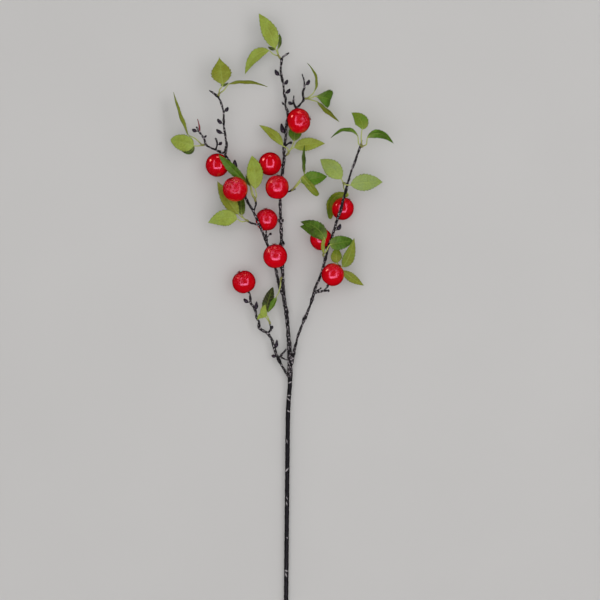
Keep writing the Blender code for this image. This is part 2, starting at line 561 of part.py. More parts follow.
def main():
    clear_scene()
    spray = collection("hawthorn_berry_spray")
    cutters = collection("cutters")
    frame = bpy.data.objects.new("spray_frame", None)
    spray.objects.link(frame)

    wrap = material("wrapped_stem", (0.012, 0.011, 0.012), 0.35)
    bark = material("twig_bark", (0.016, 0.013, 0.014), 0.5)
    lacquer = material("berry_lacquer", (0.55, 0.0, 0.008), 0.12, coat=1.0)
    leaf_green = material("leaf", (0.17, 0.24, 0.045), 0.55)

    slab = surface_slab(cutters)
    main_stem = stem("main_stem", [main_knots()] + MAIN_TWIGS, MAIN_BUDS)
    cut(main_stem, slab)
    finish(main_stem, wrap, spray, frame)

    notch = as_cutter(twig(main_knots(CLEARANCE), STEM_RESOLUTION), "main_stem_clearance", cutters)
    for name, routes, buds in (("left_low_branch", LEFT_LOW_BRANCH, LEFT_LOW_BUDS),
                               ("left_high_branch", LEFT_HIGH_BRANCH, LEFT_HIGH_BUDS),
                               ("right_branch", RIGHT_BRANCH, RIGHT_BUDS)):
        branch = stem(name, routes, buds)
        cut(branch, notch)
        finish(branch, bark, spray, frame)

    for berry in BERRIES:
        body = berry_body(berry, cutters)
        if berry.centre[2] < berry.radius:
            cut(body, slab)
        finish(body, lacquer, spray, frame)

    for sprig in SPRIGS:
        finish(leaf_sprig(sprig, cutters), leaf_green, spray, frame)


main()
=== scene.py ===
"""Artificial hawthorn berry spray, dressed and set on a pale floor under soft light.

Every piece is a surface worked out from the same tables of places that the spray is laid out on:
a sheet 600 mm square over the spray, read across from its left edge, down from its top edge, and
up from the floor, in millimetres. Lengths become metres in the function place.
"""

import math
from collections import namedtuple

import bpy
import numpy as np
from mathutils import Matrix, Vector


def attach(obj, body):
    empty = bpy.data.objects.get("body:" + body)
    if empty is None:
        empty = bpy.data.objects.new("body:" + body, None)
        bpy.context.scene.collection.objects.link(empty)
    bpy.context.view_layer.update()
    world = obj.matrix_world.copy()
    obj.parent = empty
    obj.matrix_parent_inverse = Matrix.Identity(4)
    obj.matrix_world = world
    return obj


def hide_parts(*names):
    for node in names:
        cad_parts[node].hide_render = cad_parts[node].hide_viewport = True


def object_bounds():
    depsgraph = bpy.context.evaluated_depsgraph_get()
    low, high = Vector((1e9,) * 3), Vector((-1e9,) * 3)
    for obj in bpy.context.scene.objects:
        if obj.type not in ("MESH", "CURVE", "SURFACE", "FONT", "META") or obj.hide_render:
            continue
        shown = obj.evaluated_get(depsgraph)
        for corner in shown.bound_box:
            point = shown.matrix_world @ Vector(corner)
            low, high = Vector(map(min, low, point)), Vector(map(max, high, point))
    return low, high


bl_info = {
    "name": "Hawthorn Berry Spray",
    "version": (1, 0, 0),
    "blender": (4, 5, 0),
    "location": "3D View > Sidebar > Hawthorn",
    "description": "Dresses an artificial hawthorn berry spray and sets its floor, light and camera",
    "category": "Add Mesh",
}

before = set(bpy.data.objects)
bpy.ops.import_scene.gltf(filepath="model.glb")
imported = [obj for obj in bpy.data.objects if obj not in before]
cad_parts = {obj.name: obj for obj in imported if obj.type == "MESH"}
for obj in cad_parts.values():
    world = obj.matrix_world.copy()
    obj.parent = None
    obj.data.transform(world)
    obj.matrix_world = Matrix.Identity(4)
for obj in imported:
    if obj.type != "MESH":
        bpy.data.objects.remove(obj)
cad_box = [list(corner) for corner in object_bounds()]

MM = 0.001
ROOT = "root"
# The place on the layout sheet over the frame's origin, the main stem's cut end, its rise, and how
# far the tape reaches and laps over the bark
SHEET_CENTRE = np.array([282.2, 309.8])
STEM_END_DOWN = 606.0
STEM_END_HEIGHT = 2.05
STEM_RISE = 0.0134
TAPE_END_DOWN = 380.0
TAPE_OVERLAP = 5.0

Berry = namedtuple("Berry", "name centre radius crown root grain height", defaults=(1.0,))
Leaf = namedtuple("Leaf", "base middle tip width roll stalk tone fullness shift fold",
                  defaults=(0.9, 0.8, 14))
Sprig = namedtuple("Sprig", "name root end leaves")
Bud = namedtuple("Bud", "root tip width")
PaleMark = namedtuple("PaleMark", "across down slope reach thickness")
Surface = namedtuple("Surface", "points quads triangles values")

# Main stem and centre branch: across, down, radius
MAIN_STEM = [
    (286, STEM_END_DOWN, 2.2), (287, 500, 2.2), (287.9, 416, 2.2), (288.5, 402, 2.2), (289.3, 392, 2.1),
    (289.9, 384, 2.2), (290.1, 374, 2.4), (289.9, 362, 2.6), (289.4, 351, 2.4), (288.5, 336, 2.1),
    (287.1, 320, 2), (286, 310.8, 2.2), (283.9, 297.4, 2), (282.9, 286, 1.8), (282.3, 268.8, 1.7),
    (281.6, 243, 1.7), (280.7, 220, 1.6), (280.1, 201, 1.5), (282.4, 172.2, 1.4), (283.9, 158.8, 1.4),
    (283.9, 147.4, 1.5), (285.3, 140.2, 1.3), (286.4, 124.4, 1.3), (288, 113.9, 1.3),
    (285.3, 104.3, 1.3), (285.8, 99.6, 1.2), (284.3, 94.3, 1.2), (283.4, 84.2, 1.1), (281.6, 76.5, 1.2),
    (280.7, 68.9, 1.1), (282.4, 57.4, 1), (289.3, 52.5, 0.7),
]

# Pale grey marks on the main stem: centre, slope down to the right, half length across, thickness
PALE_MARKS = [
    PaleMark(289, 363.5, 0.2, 0.9, 0.6), PaleMark(290, 382.6, -0.4, 2.2, 0.6),
    PaleMark(288.8, 395.6, 0, 2.2, 0.5), PaleMark(288.1, 399.2, 0.8, 2.4, 0.6),
    PaleMark(288.5, 411.4, 0.5, 1.5, 0.7), PaleMark(286.9, 441.5, 3, 0.6, 1.4),
    PaleMark(286.4, 470.7, -0.9, 2.2, 1), PaleMark(286.9, 498.6, 1.6, 0.9, 0.7),
    PaleMark(286.6, 504, 2.2, 0.7, 1.3), PaleMark(287.2, 538.4, 0.6, 0.8, 0.6),
    PaleMark(286.3, 571.5, 0.3, 1.6, 0.8), PaleMark(286, 575.6, 1.5, 1, 1.4),
]

# Side branches and twigs: across, down, height, radius
MAIN_TWIGS = [
    [(285.6, 129, 8.5, 1.1), (290, 119, 8.6, 1.1), (294, 112.5, 9.8, 1.1), (296.5, 108.4, 11, 1.2),
     (300.6, 103.9, 12.5, 1.1), (303.5, 100, 13.4, 1.2), (303, 93.3, 14, 1), (304.6, 86, 14.3, 1.1),
     (304, 80.5, 14.5, 0.9), (302, 74, 14.6, 0.7)],
    [(296.5, 108.4, 11, 1), (293.4, 102, 12, 1), (293.9, 95.3, 12.5, 0.7)],
    [(280.3, 196, 7.5, 1), (289, 191.2, 8.4, 1.1), (295.9, 188.6, 9, 0.8)],
    [(283.9, 146.8, 8.2, 0.9), (290.1, 142.1, 8.2, 0.8)],
]
LEFT_LOW_BRANCH = [
    [(290, 378, 5.1, 1.5), (283.3, 368.3, 5.4, 1.5), (279, 360.2, 5.8, 1.6), (275.2, 351.5, 6.2, 1.5),
     (271.4, 339, 6.9, 1.4), (267.6, 333.6, 7.4, 1.4), (261.6, 329.8, 7.9, 1.3), (259, 327.3, 8.2, 1.4),
     (259, 322.4, 8.5, 1.2), (256.6, 317.4, 8.9, 1.2), (255.5, 311.1, 9.4, 1.2),
     (253.4, 306.6, 9.9, 1.1), (250.4, 302.4, 10.3, 1.1), (250.3, 296, 10.9, 1),
     (248.9, 292.2, 11.3, 0.9)],
    [(279, 358, 5.9, 1.1), (282.8, 353.4, 8, 0.9), (286.6, 348.8, 9.8, 0.8)],
    [(280, 357, 6.4, 0.9), (283.5, 358.6, 8.6, 0.8), (287.1, 360.2, 10.2, 0.8)],
    [(267.6, 333.6, 7.4, 1.1), (270.8, 328.7, 8.3, 1.1), (270.6, 325.6, 8.8, 1)],
]
LEFT_HIGH_BRANCH = [
    [(284.2, 299, 6.2, 1.4), (281.2, 291.5, 6.5, 1.5), (279.2, 286, 6.7, 1.5), (276.9, 275, 7.1, 1.4),
     (275.4, 268.8, 7.4, 1.4), (271.5, 257, 8.6, 1.3), (267.7, 245.8, 11.2, 1.3),
     (266.8, 243, 12.3, 1.4), (265.8, 239.7, 13.6, 2.1), (264.6, 236.8, 14.8, 1.5),
     (261.2, 229, 17.8, 1.3), (258.9, 223.6, 19.4, 1.3), (256.6, 218.3, 18.8, 1.3),
     (252.8, 210.6, 17, 1.3), (245.9, 198.4, 14.9, 1.3), (243.5, 190, 13.9, 1.2),
     (241.8, 182, 13.7, 1.2), (236, 173, 14.4, 1.2), (229.6, 162.1, 15.8, 1.3),
     (225.4, 153.7, 16.2, 1.5), (226.5, 145.3, 16.4, 1.2), (225.4, 136, 16.4, 1.2),
     (224, 126, 16.2, 1.1), (223.7, 112.9, 15.8, 1.1), (221.7, 105.2, 15.5, 1.1),
     (218.2, 97.6, 15.4, 1.1), (213.4, 93.3, 15.6, 0.9), (209.1, 90.4, 15.8, 0.7)],
    [(225.4, 153.7, 16.2, 1.2), (215.8, 150.2, 16.3, 1.1), (205.9, 144.3, 16.2, 1.1),
     (204.5, 139, 16, 1), (202.1, 135.7, 15.8, 1), (198.3, 130.4, 15.6, 0.9), (196.4, 126.6, 15.6, 0.7)],
    [(215.8, 150.2, 16.3, 0.9), (217.3, 143.5, 16.6, 0.9), (215.4, 137.8, 16.8, 0.7)],
    [(253.5, 212, 17.2, 1), (256.1, 203.4, 17.5, 0.9), (255.8, 200.5, 17.7, 0.9),
     (254.4, 196.2, 17.8, 0.7)],
    [(258.9, 225, 19.3, 1.1), (250.9, 222.9, 18.4, 1), (246.3, 219.7, 18, 0.8)],
    [(265.8, 239, 13.6, 1), (269.9, 233.8, 12.6, 0.9)],
]
RIGHT_BRANCH = [
    [(290.6, 366, 5.3, 1.6), (293, 358.5, 5.9, 1.6), (294.1, 352.6, 6.4, 1.6), (295.2, 347.2, 6.9, 1.5),
     (297.4, 337.9, 7.7, 1.2), (300, 330.4, 8.4, 1.2), (302.8, 323.4, 9, 1.3), (304.9, 318.2, 9.5, 2),
     (306.4, 314.6, 9.8, 1.3), (308.8, 309, 10.4, 1.2), (311, 302.6, 11, 1.3), (312.2, 299.4, 11.4, 1.9),
     (313, 296.4, 11.7, 1.3), (315.7, 286.9, 12.7, 1.4), (319.7, 277.7, 14, 1.3),
     (323.1, 267.4, 15.5, 1.3), (325.4, 258.8, 17, 1.3), (328.3, 247.3, 19, 1.3),
     (332.3, 235.8, 20.8, 1.3), (334.6, 228.9, 21.7, 1.3), (337.5, 218.6, 22.8, 1.5),
     (340.6, 210, 23.4, 1.5), (342.3, 202.8, 23.8, 1.4), (346.1, 189.4, 24, 1.2), (349.9, 176, 24, 1.1),
     (355.4, 160, 23.5, 1.3), (358, 152.8, 23.1, 1.1), (360.2, 146.6, 22.6, 1),
     (361.6, 140.4, 22.2, 0.8)],
    [(314.2, 293.2, 12, 1.1), (322.6, 290.9, 14.6, 1), (327.4, 287.2, 17.4, 0.9)],
    [(322.6, 290.9, 14.6, 0.9), (327.7, 290.6, 15.4, 0.9)],
    [(315, 293, 12.3, 0.9), (321.4, 287.5, 13.6, 0.8)],
    [(324, 264, 16.2, 1), (324.8, 260.5, 17.4, 1), (324.2, 257.6, 18.3, 0.9)],
    [(322.4, 269.4, 15.2, 1), (328, 266, 12.6, 0.9), (334.4, 264.8, 12.2, 0.9)],
]

BRANCHES = {"left_low_branch": LEFT_LOW_BRANCH, "left_high_branch": LEFT_HIGH_BRANCH,
            "right_branch": RIGHT_BRANCH}

# Knobs are short swellings in the bark, buds are the glossy ones that stand off it
MAIN_KNOBS = [
    Bud((285.8, 104.9, 8.8), (282, 101.4, 9.2), 1.8), Bud((281.7, 243.4, 6.9), (279.2, 243, 7), 3),
    Bud((281.4, 243.2, 6.9), (284.6, 242.9, 7.1), 3.8), Bud((280.9, 220.4, 7.2), (277.7, 220.6, 7.3), 3),
    Bud((280.5, 220.4, 7.2), (283.8, 220.6, 7.3), 3),
]
MAIN_BUDS = [
    Bud((281.2, 75.6, 9.1), (275.3, 69.3, 9.6), 3.4), Bud((283.2, 84.4, 9.1), (287.4, 79.4, 9.6), 3),
    Bud((284, 93.4, 8.9), (289.8, 88.4, 9.4), 3), Bud((285.6, 134, 8.4), (281.4, 123.1, 8.8), 3.8),
    Bud((288.6, 143.2, 8.2), (291.6, 141.2, 8.2), 2.6), Bud((294.4, 104.4, 11.6), (288.6, 101.4, 12), 3),
    Bud((304.8, 85.4, 14.3), (309.2, 79.8, 14.6), 3),
]
LEFT_LOW_BUDS = [
    Bud((275.2, 348.8, 6.4), (276.9, 339.6, 7.2), 2.8), Bud((278, 357, 5.9), (271.8, 355, 6.3), 2.8),
    Bud((254.9, 310.4, 9.5), (256.6, 301.4, 10.4), 3.2),
    Bud((250.6, 302.8, 10.3), (244, 298.4, 10.7), 3), Bud((270, 328.8, 8.3), (272.4, 325.6, 8.6), 2.8),
]
LEFT_HIGH_BUDS = [
    Bud((223.6, 112, 15.8), (228, 107.2, 16.2), 3), Bud((224.2, 124.2, 16.2), (217.8, 118.8, 16.6), 3),
    Bud((225, 134, 16.4), (216.8, 129.2, 16.8), 3), Bud((199, 131.8, 15.7), (192.6, 129, 16), 3),
    Bud((203.2, 138, 15.9), (206.4, 135.2, 16.2), 1.8), Bud((217.2, 145, 16.5), (221.8, 142, 16.9), 2.8),
    Bud((234.8, 171.4, 14.6), (234.8, 159.8, 15.2), 4.4),
    Bud((268.9, 235, 12.8), (271, 232.6, 12.4), 2.4),
]
RIGHT_BUDS = [
    Bud((335.4, 230.6, 21.6), (340.2, 224, 22.2), 3.4),
    Bud((326.4, 290.8, 15.2), (329.4, 290.4, 15.6), 2.4),
]

BUDS = {"main_stem_buds": MAIN_BUDS, "left_low_buds": LEFT_LOW_BUDS,
        "left_high_buds": LEFT_HIGH_BUDS, "right_buds": RIGHT_BUDS}

# The thin red shoot at the far left twig's end: across, down, height, radius
WISP = [(199.8, 131.5, 15.7, 0.8), (199.6, 127.4, 15.8, 0.9), (199, 124.4, 15.9, 0.6),
        (197.6, 119, 16, 0.4)]

# Berries: name, centre, radius, crown direction (across, down, up), root of the peg, graininess,
# and height along the crown's axis over width where it isn't one
BERRIES = [
    Berry("berry_01", (298.7, 121.6, 23), 12.3, (1, -0.2, 0.12), (286.4, 124.4, 8.5), 0.75, 0.93),
    Berry("berry_02", (270, 163.8, 10.9), 11.4, (-0.75, -0.3, -0.5), (283.1, 165, 8), 0.4, 0.97),
    Berry("berry_03", (277.2, 187.7, 21.6), 11.5, (0.1, -1, 0.16), (280.3, 199.5, 7.5), 0.9, 1.03),
    Berry("berry_04", (217.2, 165, 10.9), 11.4, (-0.8, 0.2, -0.35), (228.2, 159.4, 15.9), 0.6),
    Berry("berry_05", (235.6, 189.8, 26.6), 12.2, (-0.4, -0.9, 0.4), (246.5, 199.4, 15.1), 1.4),
    Berry("berry_06", (266.6, 219.8, 10.3), 10.7, (-0.1, -1, 0.1), (265.9, 239.2, 13.4), 0.9, 1.03),
    Berry("berry_07", (275.3, 256.4, 21.4), 11.6, (-0.1, -1, 0.12), (282.3, 271, 6.5), 0.7, 1.03),
    Berry("berry_08", (243.9, 282, 11), 11.5, (-0.45, -0.9, 0.12), (249.3, 293.4, 11.3), 0.7, 0.96),
    Berry("berry_09", (342.7, 208.6, 10.2), 10.7, (0.4, -0.6, -0.2), (337.7, 218.2, 22.7), 0.5, 1.05),
    Berry("berry_10", (321.2, 239.2, 10.4), 10.8, (-0.5, -0.8, 0.1), (327.7, 249.8, 18.6), 0.5),
    Berry("berry_11", (332.7, 274.7, 22.4), 11.1, (0.6, -0.8, 0.12), (326.8, 287.8, 17), 0.7),
]

# Tones of the leaf face that looks up: dark, deep green, olive, pale underside, milky underside
DARK, GREEN, OLIVE, PALE, MILKY = 0.0, 0.33, 0.66, 0.96, 1.25

# Leaf sprigs: the peg's root and end, then the blades, each with the points of its rib at the
# base, half way and the tip, its width, its roll about the rib in degrees, the points that its
# stalk passes (None for a part of a blade that has curled over at its base), the tone of the face
# that looks up, how blunt its oval is, how far out the oval is widest, and its fold
SPRIGS = [
    Sprig("leaf_sprig_top", (281.9, 60.8, 9.4), (278.7, 56, 11.6), [
        Leaf((275.2, 48.2, 14), (268.6, 31, 17), (258.9, 14, 15), 17, 8, [(277, 52, 13.4)], 0.92),
        Leaf((268.8, 50.8, 13), (255, 56.8, 12.5), (245, 73.7, 6), 12.4, 15, [(273.5, 54.4, 13.4)], 0.88),
        Leaf((277.5, 49.4, 11.5), (279.8, 40.5, 10), (278.9, 33, 8.5), 5, 50, [], 0.05),
        Leaf((275.4, 48.6, 13.8), (272, 48.9, 13.2), (268.2, 46.8, 13.4), 3.6, 0, None, 0.04, 0.6),
    ]),
    Sprig("leaf_sprig_top_left", (218.5, 98.4, 15.4), (219, 94.4, 18), [
        Leaf((223, 85.4, 20), (221.2, 71.6, 20.5), (219.2, 57.2, 15), 21.5, 0, [(219.8, 90.5, 19.4)],
             0.7, 1.5, 0.74),
        Leaf((229, 84.6, 19), (246.5, 81.4, 17), (267.4, 86.6, 9), 9, 70, [(224, 90.8, 19.6)], 0.74),
        Leaf((221.2, 85, 19.8), (224.4, 85.6, 19.8), (228.4, 83.2, 19.8), 3, 0, None, 0.04, 0.6),
    ]),
    Sprig("leaf_sprig_far_left", (206.4, 144.6, 16.2), (202.4, 145.4, 18.6), [
        Leaf((193.5, 146, 19), (183, 142.8, 18.5), (170.8, 139.9, 12), 18, -10, [(198, 146.4, 19.6)],
             0.96, 0.62),
        Leaf((188, 134.7, 18.5), (179.8, 115.5, 17), (173.4, 92.2, 10), 10, 70,
             [(195.6, 139, 19.6)], 0.75),
        Leaf((193.8, 146.2, 18.9), (189.8, 152.2, 18.5), (181.6, 150.4, 18.6), 5.5, 0, None, 0.04, 0.6),
    ]),
    Sprig("leaf_sprig_top_right", (303, 99, 13.5), (306.8, 98.8, 15.8), [
        Leaf((314.6, 91.2, 18), (314.9, 77, 16), (307.3, 63.1, 11), 9, 72, [(311.4, 95.4, 17.6)], 0.6),
        Leaf((315.4, 96.6, 19), (325.4, 98.4, 17), (330.4, 99.6, 6), 19.5, 0, [(311.4, 98.2, 17.8)],
             0.22, 0.8, 1.5),
        Leaf((317.5, 102, 15.2), (328.5, 111.3, 11.6), (339.3, 121.5, 7.4), 9, 62,
             [(312, 100.4, 16.2)], 0.62),
    ]),
    Sprig("leaf_sprig_upper_middle", (284.2, 157, 8.1), (288.4, 153.2, 10.6), [
        Leaf((282.5, 145.5, 13.4), (272.8, 134.6, 13.4), (259.2, 125, 9), 10.4, 20,
             [(288, 149.4, 13)], 0.76),
        Leaf((294.5, 147.5, 11.4), (308.5, 144, 11.4), (324.8, 143.4, 7.5), 14, 0,
             [(290.8, 149.2, 11.4)], 0.82),
        Leaf((294, 141, 10.5), (295, 132, 5.8), (295.4, 122, 3.4), 14, 0, [(292.2, 146.2, 11.4)], 0.24),
    ]),
    Sprig("leaf_sprig_middle_right", (290.4, 190.6, 8.6), (292.4, 189.8, 12.8), [
        Leaf((301, 182, 15.4), (313.5, 178.7, 16), (327.2, 176.5, 10), 16, -8,
             [(296.4, 186.6, 15.6)], 0.36),
        Leaf((304.3, 174.5, 16.4), (302.8, 160, 17), (304.6, 145.3, 16.5), 9, 64, [(300, 180, 17)], 0.12),
        Leaf((302.6, 176.6, 17.4), (310, 186, 18.5), (318, 195.6, 13), 8.5, 20, [(299, 182.6, 17.2)],
             0.54, 0.32, 1),
    ]),
    Sprig("leaf_sprig_left_middle", (256, 202.4, 17.5), (255.3, 200.4, 21.5), [
        Leaf((255.3, 189, 21), (254.8, 172, 20), (251.8, 155.7, 12), 17.5, 0, [(256.6, 195.6, 22.6)], 0.9),
        Leaf((249.8, 186, 17.6), (236.8, 173.2, 20.2), (219.1, 155.5, 25.5), 10.5, -20,
             [(251.8, 194.6, 21)], 0.25, 0.8, 1.4),
        Leaf((250.9, 186.7, 20.8), (248.2, 181, 19), (245.8, 175.3, 16), 5, 30, [(253.4, 195, 22.2)], 0.1),
    ]),
    Sprig("leaf_sprig_left_low", (249, 222, 18.2), (247.4, 220.8, 22), [
        Leaf((237.1, 219, 19.6), (224, 218.2, 18.5), (208.2, 222.6, 10), 17.5, 0,
             [(242.6, 222, 21.6)], 0.98),
        Leaf((238.5, 214.3, 17.5), (227.5, 199.5, 13), (217.3, 181.3, 6.5), 15, 12,
             [(242.6, 217.8, 21)], 0.76),
        Leaf((242, 215, 16.8), (241, 203, 11), (239.5, 190, 6.5), 8.5, 0, [(243.6, 218.2, 20)], 0.1, 0.4),
    ]),
    Sprig("leaf_sprig_right_tip", (359.8, 147.8, 22.6), (362, 147.2, 26.6), [
        Leaf((361.8, 130.2, 26.6), (360.6, 121.4, 26), (351.4, 113.2, 19), 14.5, 0,
             [(360.8, 139, 28)], 0.46),
        Leaf((357.5, 136.7, 26.6), (345.2, 131, 24), (331, 138, 15), 9, 60, [(358.2, 144.2, 28)], 0.3),
        Leaf((367, 138.6, 26), (379, 134, 23), (393.5, 143.5, 13), 11, 38, [(366.2, 145, 27.4)], 0.26),
    ]),
    Sprig("leaf_sprig_right_upper", (347.6, 184.2, 24), (343.4, 183.6, 25), [
        Leaf((341, 179.5, 26), (331.8, 168.8, 24), (320.3, 159.6, 14), 18, 0, [], 1.14),
        Leaf((350.5, 185.7, 27.2), (366, 182.8, 25.5), (382.3, 182.2, 14), 18, 0,
             [(344.4, 185, 27.8)], 1.2),
        Leaf((348.5, 195, 17.5), (332.6, 199, 6.8), (330.4, 219, 3.8), 12.5, -40,
             [(343.4, 187.6, 21), (346.8, 192.6, 18.6)], 0.52, 0.36, 1.1),
    ]),
    Sprig("leaf_sprig_right_middle", (324.4, 258.6, 18), (323.2, 254.8, 19.8), [
        Leaf((324.8, 240.2, 24.4), (316.4, 228.2, 21.5), (300.5, 221.8, 12), 14.5, 0,
             [(323.6, 246.5, 24.2)], 0.17),
        Leaf((323.4, 240.3, 23.2), (313, 230.4, 18), (299.9, 226.4, 8), 12, 0,
             [(322.8, 246.5, 23.4)], 0.2),
        Leaf((330, 244.8, 22.8), (340.5, 242.8, 22), (352.5, 240.4, 13.5), 15, 0,
             [(326.6, 250.6, 22.8)], 0.22, 0.62, 0.72),
        Leaf((323.4, 252.4, 22), (322.8, 246, 25), (323.4, 238.6, 25.6), 4, 0, None, 0.64, 0.5),
    ]),
    Sprig("leaf_sprig_right_low", (333.8, 264.9, 12.2), (338, 265.8, 13.6), [
        Leaf((337.5, 262.5, 15.6), (336.3, 256, 16.5), (337.5, 246.5, 13), 12, 0, [], 0.6),
        Leaf((342.6, 266.6, 16), (349, 256, 18), (354, 238.3, 20), 12.5, 10, [], 0.57),
        Leaf((342.6, 270.8, 14.6), (352.2, 278.2, 13.5), (363.8, 285.4, 7), 9.5, 0, [], 0.62),
    ]),
    Sprig("leaf_sprig_bottom_left", (270.5, 326.2, 8.7), (269.6, 322.2, 9.8), [
        Leaf((265, 312.4, 12), (268.3, 300.4, 13), (272.9, 287.1, 10), 11.4, 6, [(267.6, 316.6, 11.6)],
             0, 0.7, 0.8),
        Leaf((265.6, 317, 11), (263.6, 311, 14.6), (265.4, 304.8, 14.4), 7.5, 0, [], 0.95, 0.8),
        Leaf((265.2, 317, 11), (261.4, 315.6, 12.4), (257.4, 319.6, 9.6), 6, 0, None, 0.95, 0.8),
    ]),
    Sprig("hanging_leaf", (282.4, 276, 6.4), (280.8, 279, 11.6), [
        Leaf((276.2, 297.2, 17), (273, 304.4, 18.5), (267.9, 312.6, 17.5), 7, 40,
             [(280.4, 285, 15), (279, 291.6, 16.6)], 0.36),
    ]),
]

# The lengths below are in millimetres, up to the stage, unless a comment says otherwise

# Fineness of the meshes: steps along a curve, sides round a tube, points along it
STEM_STEP = 0.5
STALK_STEP = 0.6
CURVE_FINENESS = 12
LEAST_STEPS = 4
STEM_SIDES = 24
TWIG_SIDES = 16
BUD_SIDES = 20
STALK_SIDES = 12
BUD_STATIONS = 26
PEG_STATIONS = 6
SLEEVE_STATIONS = 14
BERRY_SEGMENTS = 144
BERRY_RINGS = 100
BLADE_ALONG = 84
BLADE_ACROSS = 22
SEPAL_ALONG = 12
SEPAL_ACROSS = 8
SMOOTH_ANGLE = math.radians(50)

# Bark: sizes of its lumps and of its slow swellings, height of the swellings over that of the
# lumps, and the least and greatest radius over the stem's own
BARK_LUMP = 2.2
BARK_SWELLING = 5
SWELLING_SHARE = 0.9
LEAST_BARK = 0.65
MOST_BARK = 1.3

# Tape: its pitch, how far its edge drifts in turns and over what length, and how uneven it is
TAPE_PITCH = 9.0
TAPE_DRIFT = 0.18
DRIFT_SIZE = 30
TAPE_UNEVEN = 0.4
UNEVEN_SIZE = 6

# Pegs: radius, how much wider the root is and over what share of the peg, and relief over the bark's
PEG_RADIUS = 0.8
PEG_FLARE = 0.5
FLARE_REACH = 0.3
PEG_RELIEF = 0.5

# Buds: share that is neck, fullness, how much the tip half is drawn in and how fast, and the scales:
# rows along, turns round, shift from bud to bud and height of their edges
BUD_NECK = 0.2
BUD_FULLNESS = 1.28
BUD_TAPER = 0.35
TAPER_RATE = 1.6
SCALE_ROWS = 2.2
SCALE_TURNS = 2
SCALE_SHIFT = 0.37
SCALE_STEP = 0.12
# How far a bud has gone sideways, up the sheet and up off it, at the bend that turns it upright
BUD_BEND = (0.85, 0.25, 0.5)

# Berries, in radii: the dimple's depth and width, the lacquer's reach over a berry's nominal radius,
# and the swell of its skin and the size of a swell
DIMPLE_DEPTH = 0.07
DIMPLE_WIDTH = 0.3
BERRY_COAT = 1.025
BERRY_SWELL = 0.016
SWELL_SIZE = 0.9
# Grains: their size, the angle from the crown at which they have mostly faded, and how sharply
GRAIN_SIZE = 1.5
GRAIN_REACH = 1.35
GRAIN_FADE = 4

# Sepals: how many, where they start, length, half width at the start, how blunt and how wide the
# point is, height over the skin at the start and at most, how far through half a wave the tongue
# has risen at its point, hollow across it, thickness, and uneven spacing round the crown
SEPALS = 5
SEPAL_START = 0.35
SEPAL_LENGTH = 2.1
SEPAL_HALF = 0.75
SEPAL_BLUNT = 0.6
SEPAL_POINT = 0.06
SEPAL_SEAT = 0.15
SEPAL_LIFT = 1.05
SEPAL_ARCH = 0.75
SEPAL_HOLLOW = 0.25
SEPAL_THICKNESS = 0.3
SEPAL_STRAY = 0.3
STRAY_STEP = 2.7

# Blades: how strongly their points gather at the rib, width at the neck and the tip, how much the
# oval grows to make up for the teeth, number of teeth, and how close to the rim they are cut
RIB_GATHER = 1.35
BLADE_NECK = 1.3
BLADE_TIP = 0.4
OVAL_GROWTH = 1.03
TOOTH_COUNT = 10
TOOTH_EDGE = 6
# Waves along a blade, shift from blade to blade and from side to side, height, and crowning
WAVE_COUNT = 2.3
WAVE_SHIFT = 0.17
WAVE_SIDES = 1.9
WAVE_HEIGHT = 0.1
CROWNING = 0.16
# Where the rim's darkening starts, in half widths, and how much thinner the rim is than the rib
RIM_START = 0.86
RIM_THINNING = 0.45
# Side veins: pairs, pitches left over at the ends, slant, place of the first in pitches, width, and
# how far from the rib they have come up
VEIN_PAIRS = 6
VEIN_SPARE = 1.5
VEIN_SLANT = 0.55
VEIN_START = 0.35
VEIN_WIDTH = 0.33
VEIN_ROOT = 0.6
# The rib: width, how much it fades towards the tip, and its height over that of the side veins
RIB_WIDTH = 0.42
RIB_FADE = 0.75
RIB_HEIGHT = 1.6
# How far the relief shows on a face, how pale the side veins are, and how fast they fade at the tip
VEIN_SHOW = 0.8
VEIN_TINT = 0.3
TINT_FADE = 0.3
# Tone of the hidden face of a blade that shows its pale face, and of one that shows its green face
HIDDEN_GREEN = GREEN * 0.8
HIDDEN_PALE = 0.9

# Stalks: width at the blade over that at the sleeve, and share of the rib that they run along.
# Sleeves: share of the peg left bare, length past its end, radius, how much of it is lost towards
# the top, height and number of the half waves along it, and freshness
STALK_TAPER = 0.6
STALK_OVERLAP = 0.12
SLEEVE_START = 0.5
SLEEVE_LENGTH = 1.4
SLEEVE_RADIUS = 1.35
SLEEVE_TAPER = 0.35
SLEEVE_WAVE = 0.12
SLEEVE_WAVES = 3
SLEEVE_FRESH = 0.12

# Noise lattice
HASH_STEPS = np.array([73856093, 19349663, 83492791], dtype=np.int64)
HASH_MIX = 1274126177
HASH_SEED = 2654435761
HASH_MASK = 0xFFFFFFFF
HASH_SHIFT = 13
FOLD_SHIFT = 16
FOLD_MASK = 0xFFFF
HALF_RANGE = 0x7FFF
LATTICE_OFFSET = 4096.0
CELL_CORNERS = np.array([[x, y, z] for x in (0, 1) for y in (0, 1) for z in (0, 1)])

# Seeds of the noises: offsets within a piece, then the first of each kind of piece
SWELLING_SEED = 9
DRIFT_SEED = 4
UNEVEN_SEED = 7
GRAIN_SEED = 3
MAIN_SEED = 1
BRANCH_SEED = 10
BERRY_PEG_SEED = 40
SPRIG_PEG_SEED = 60
BERRY_SEED = 100
BERRY_SEED_STEP = 7

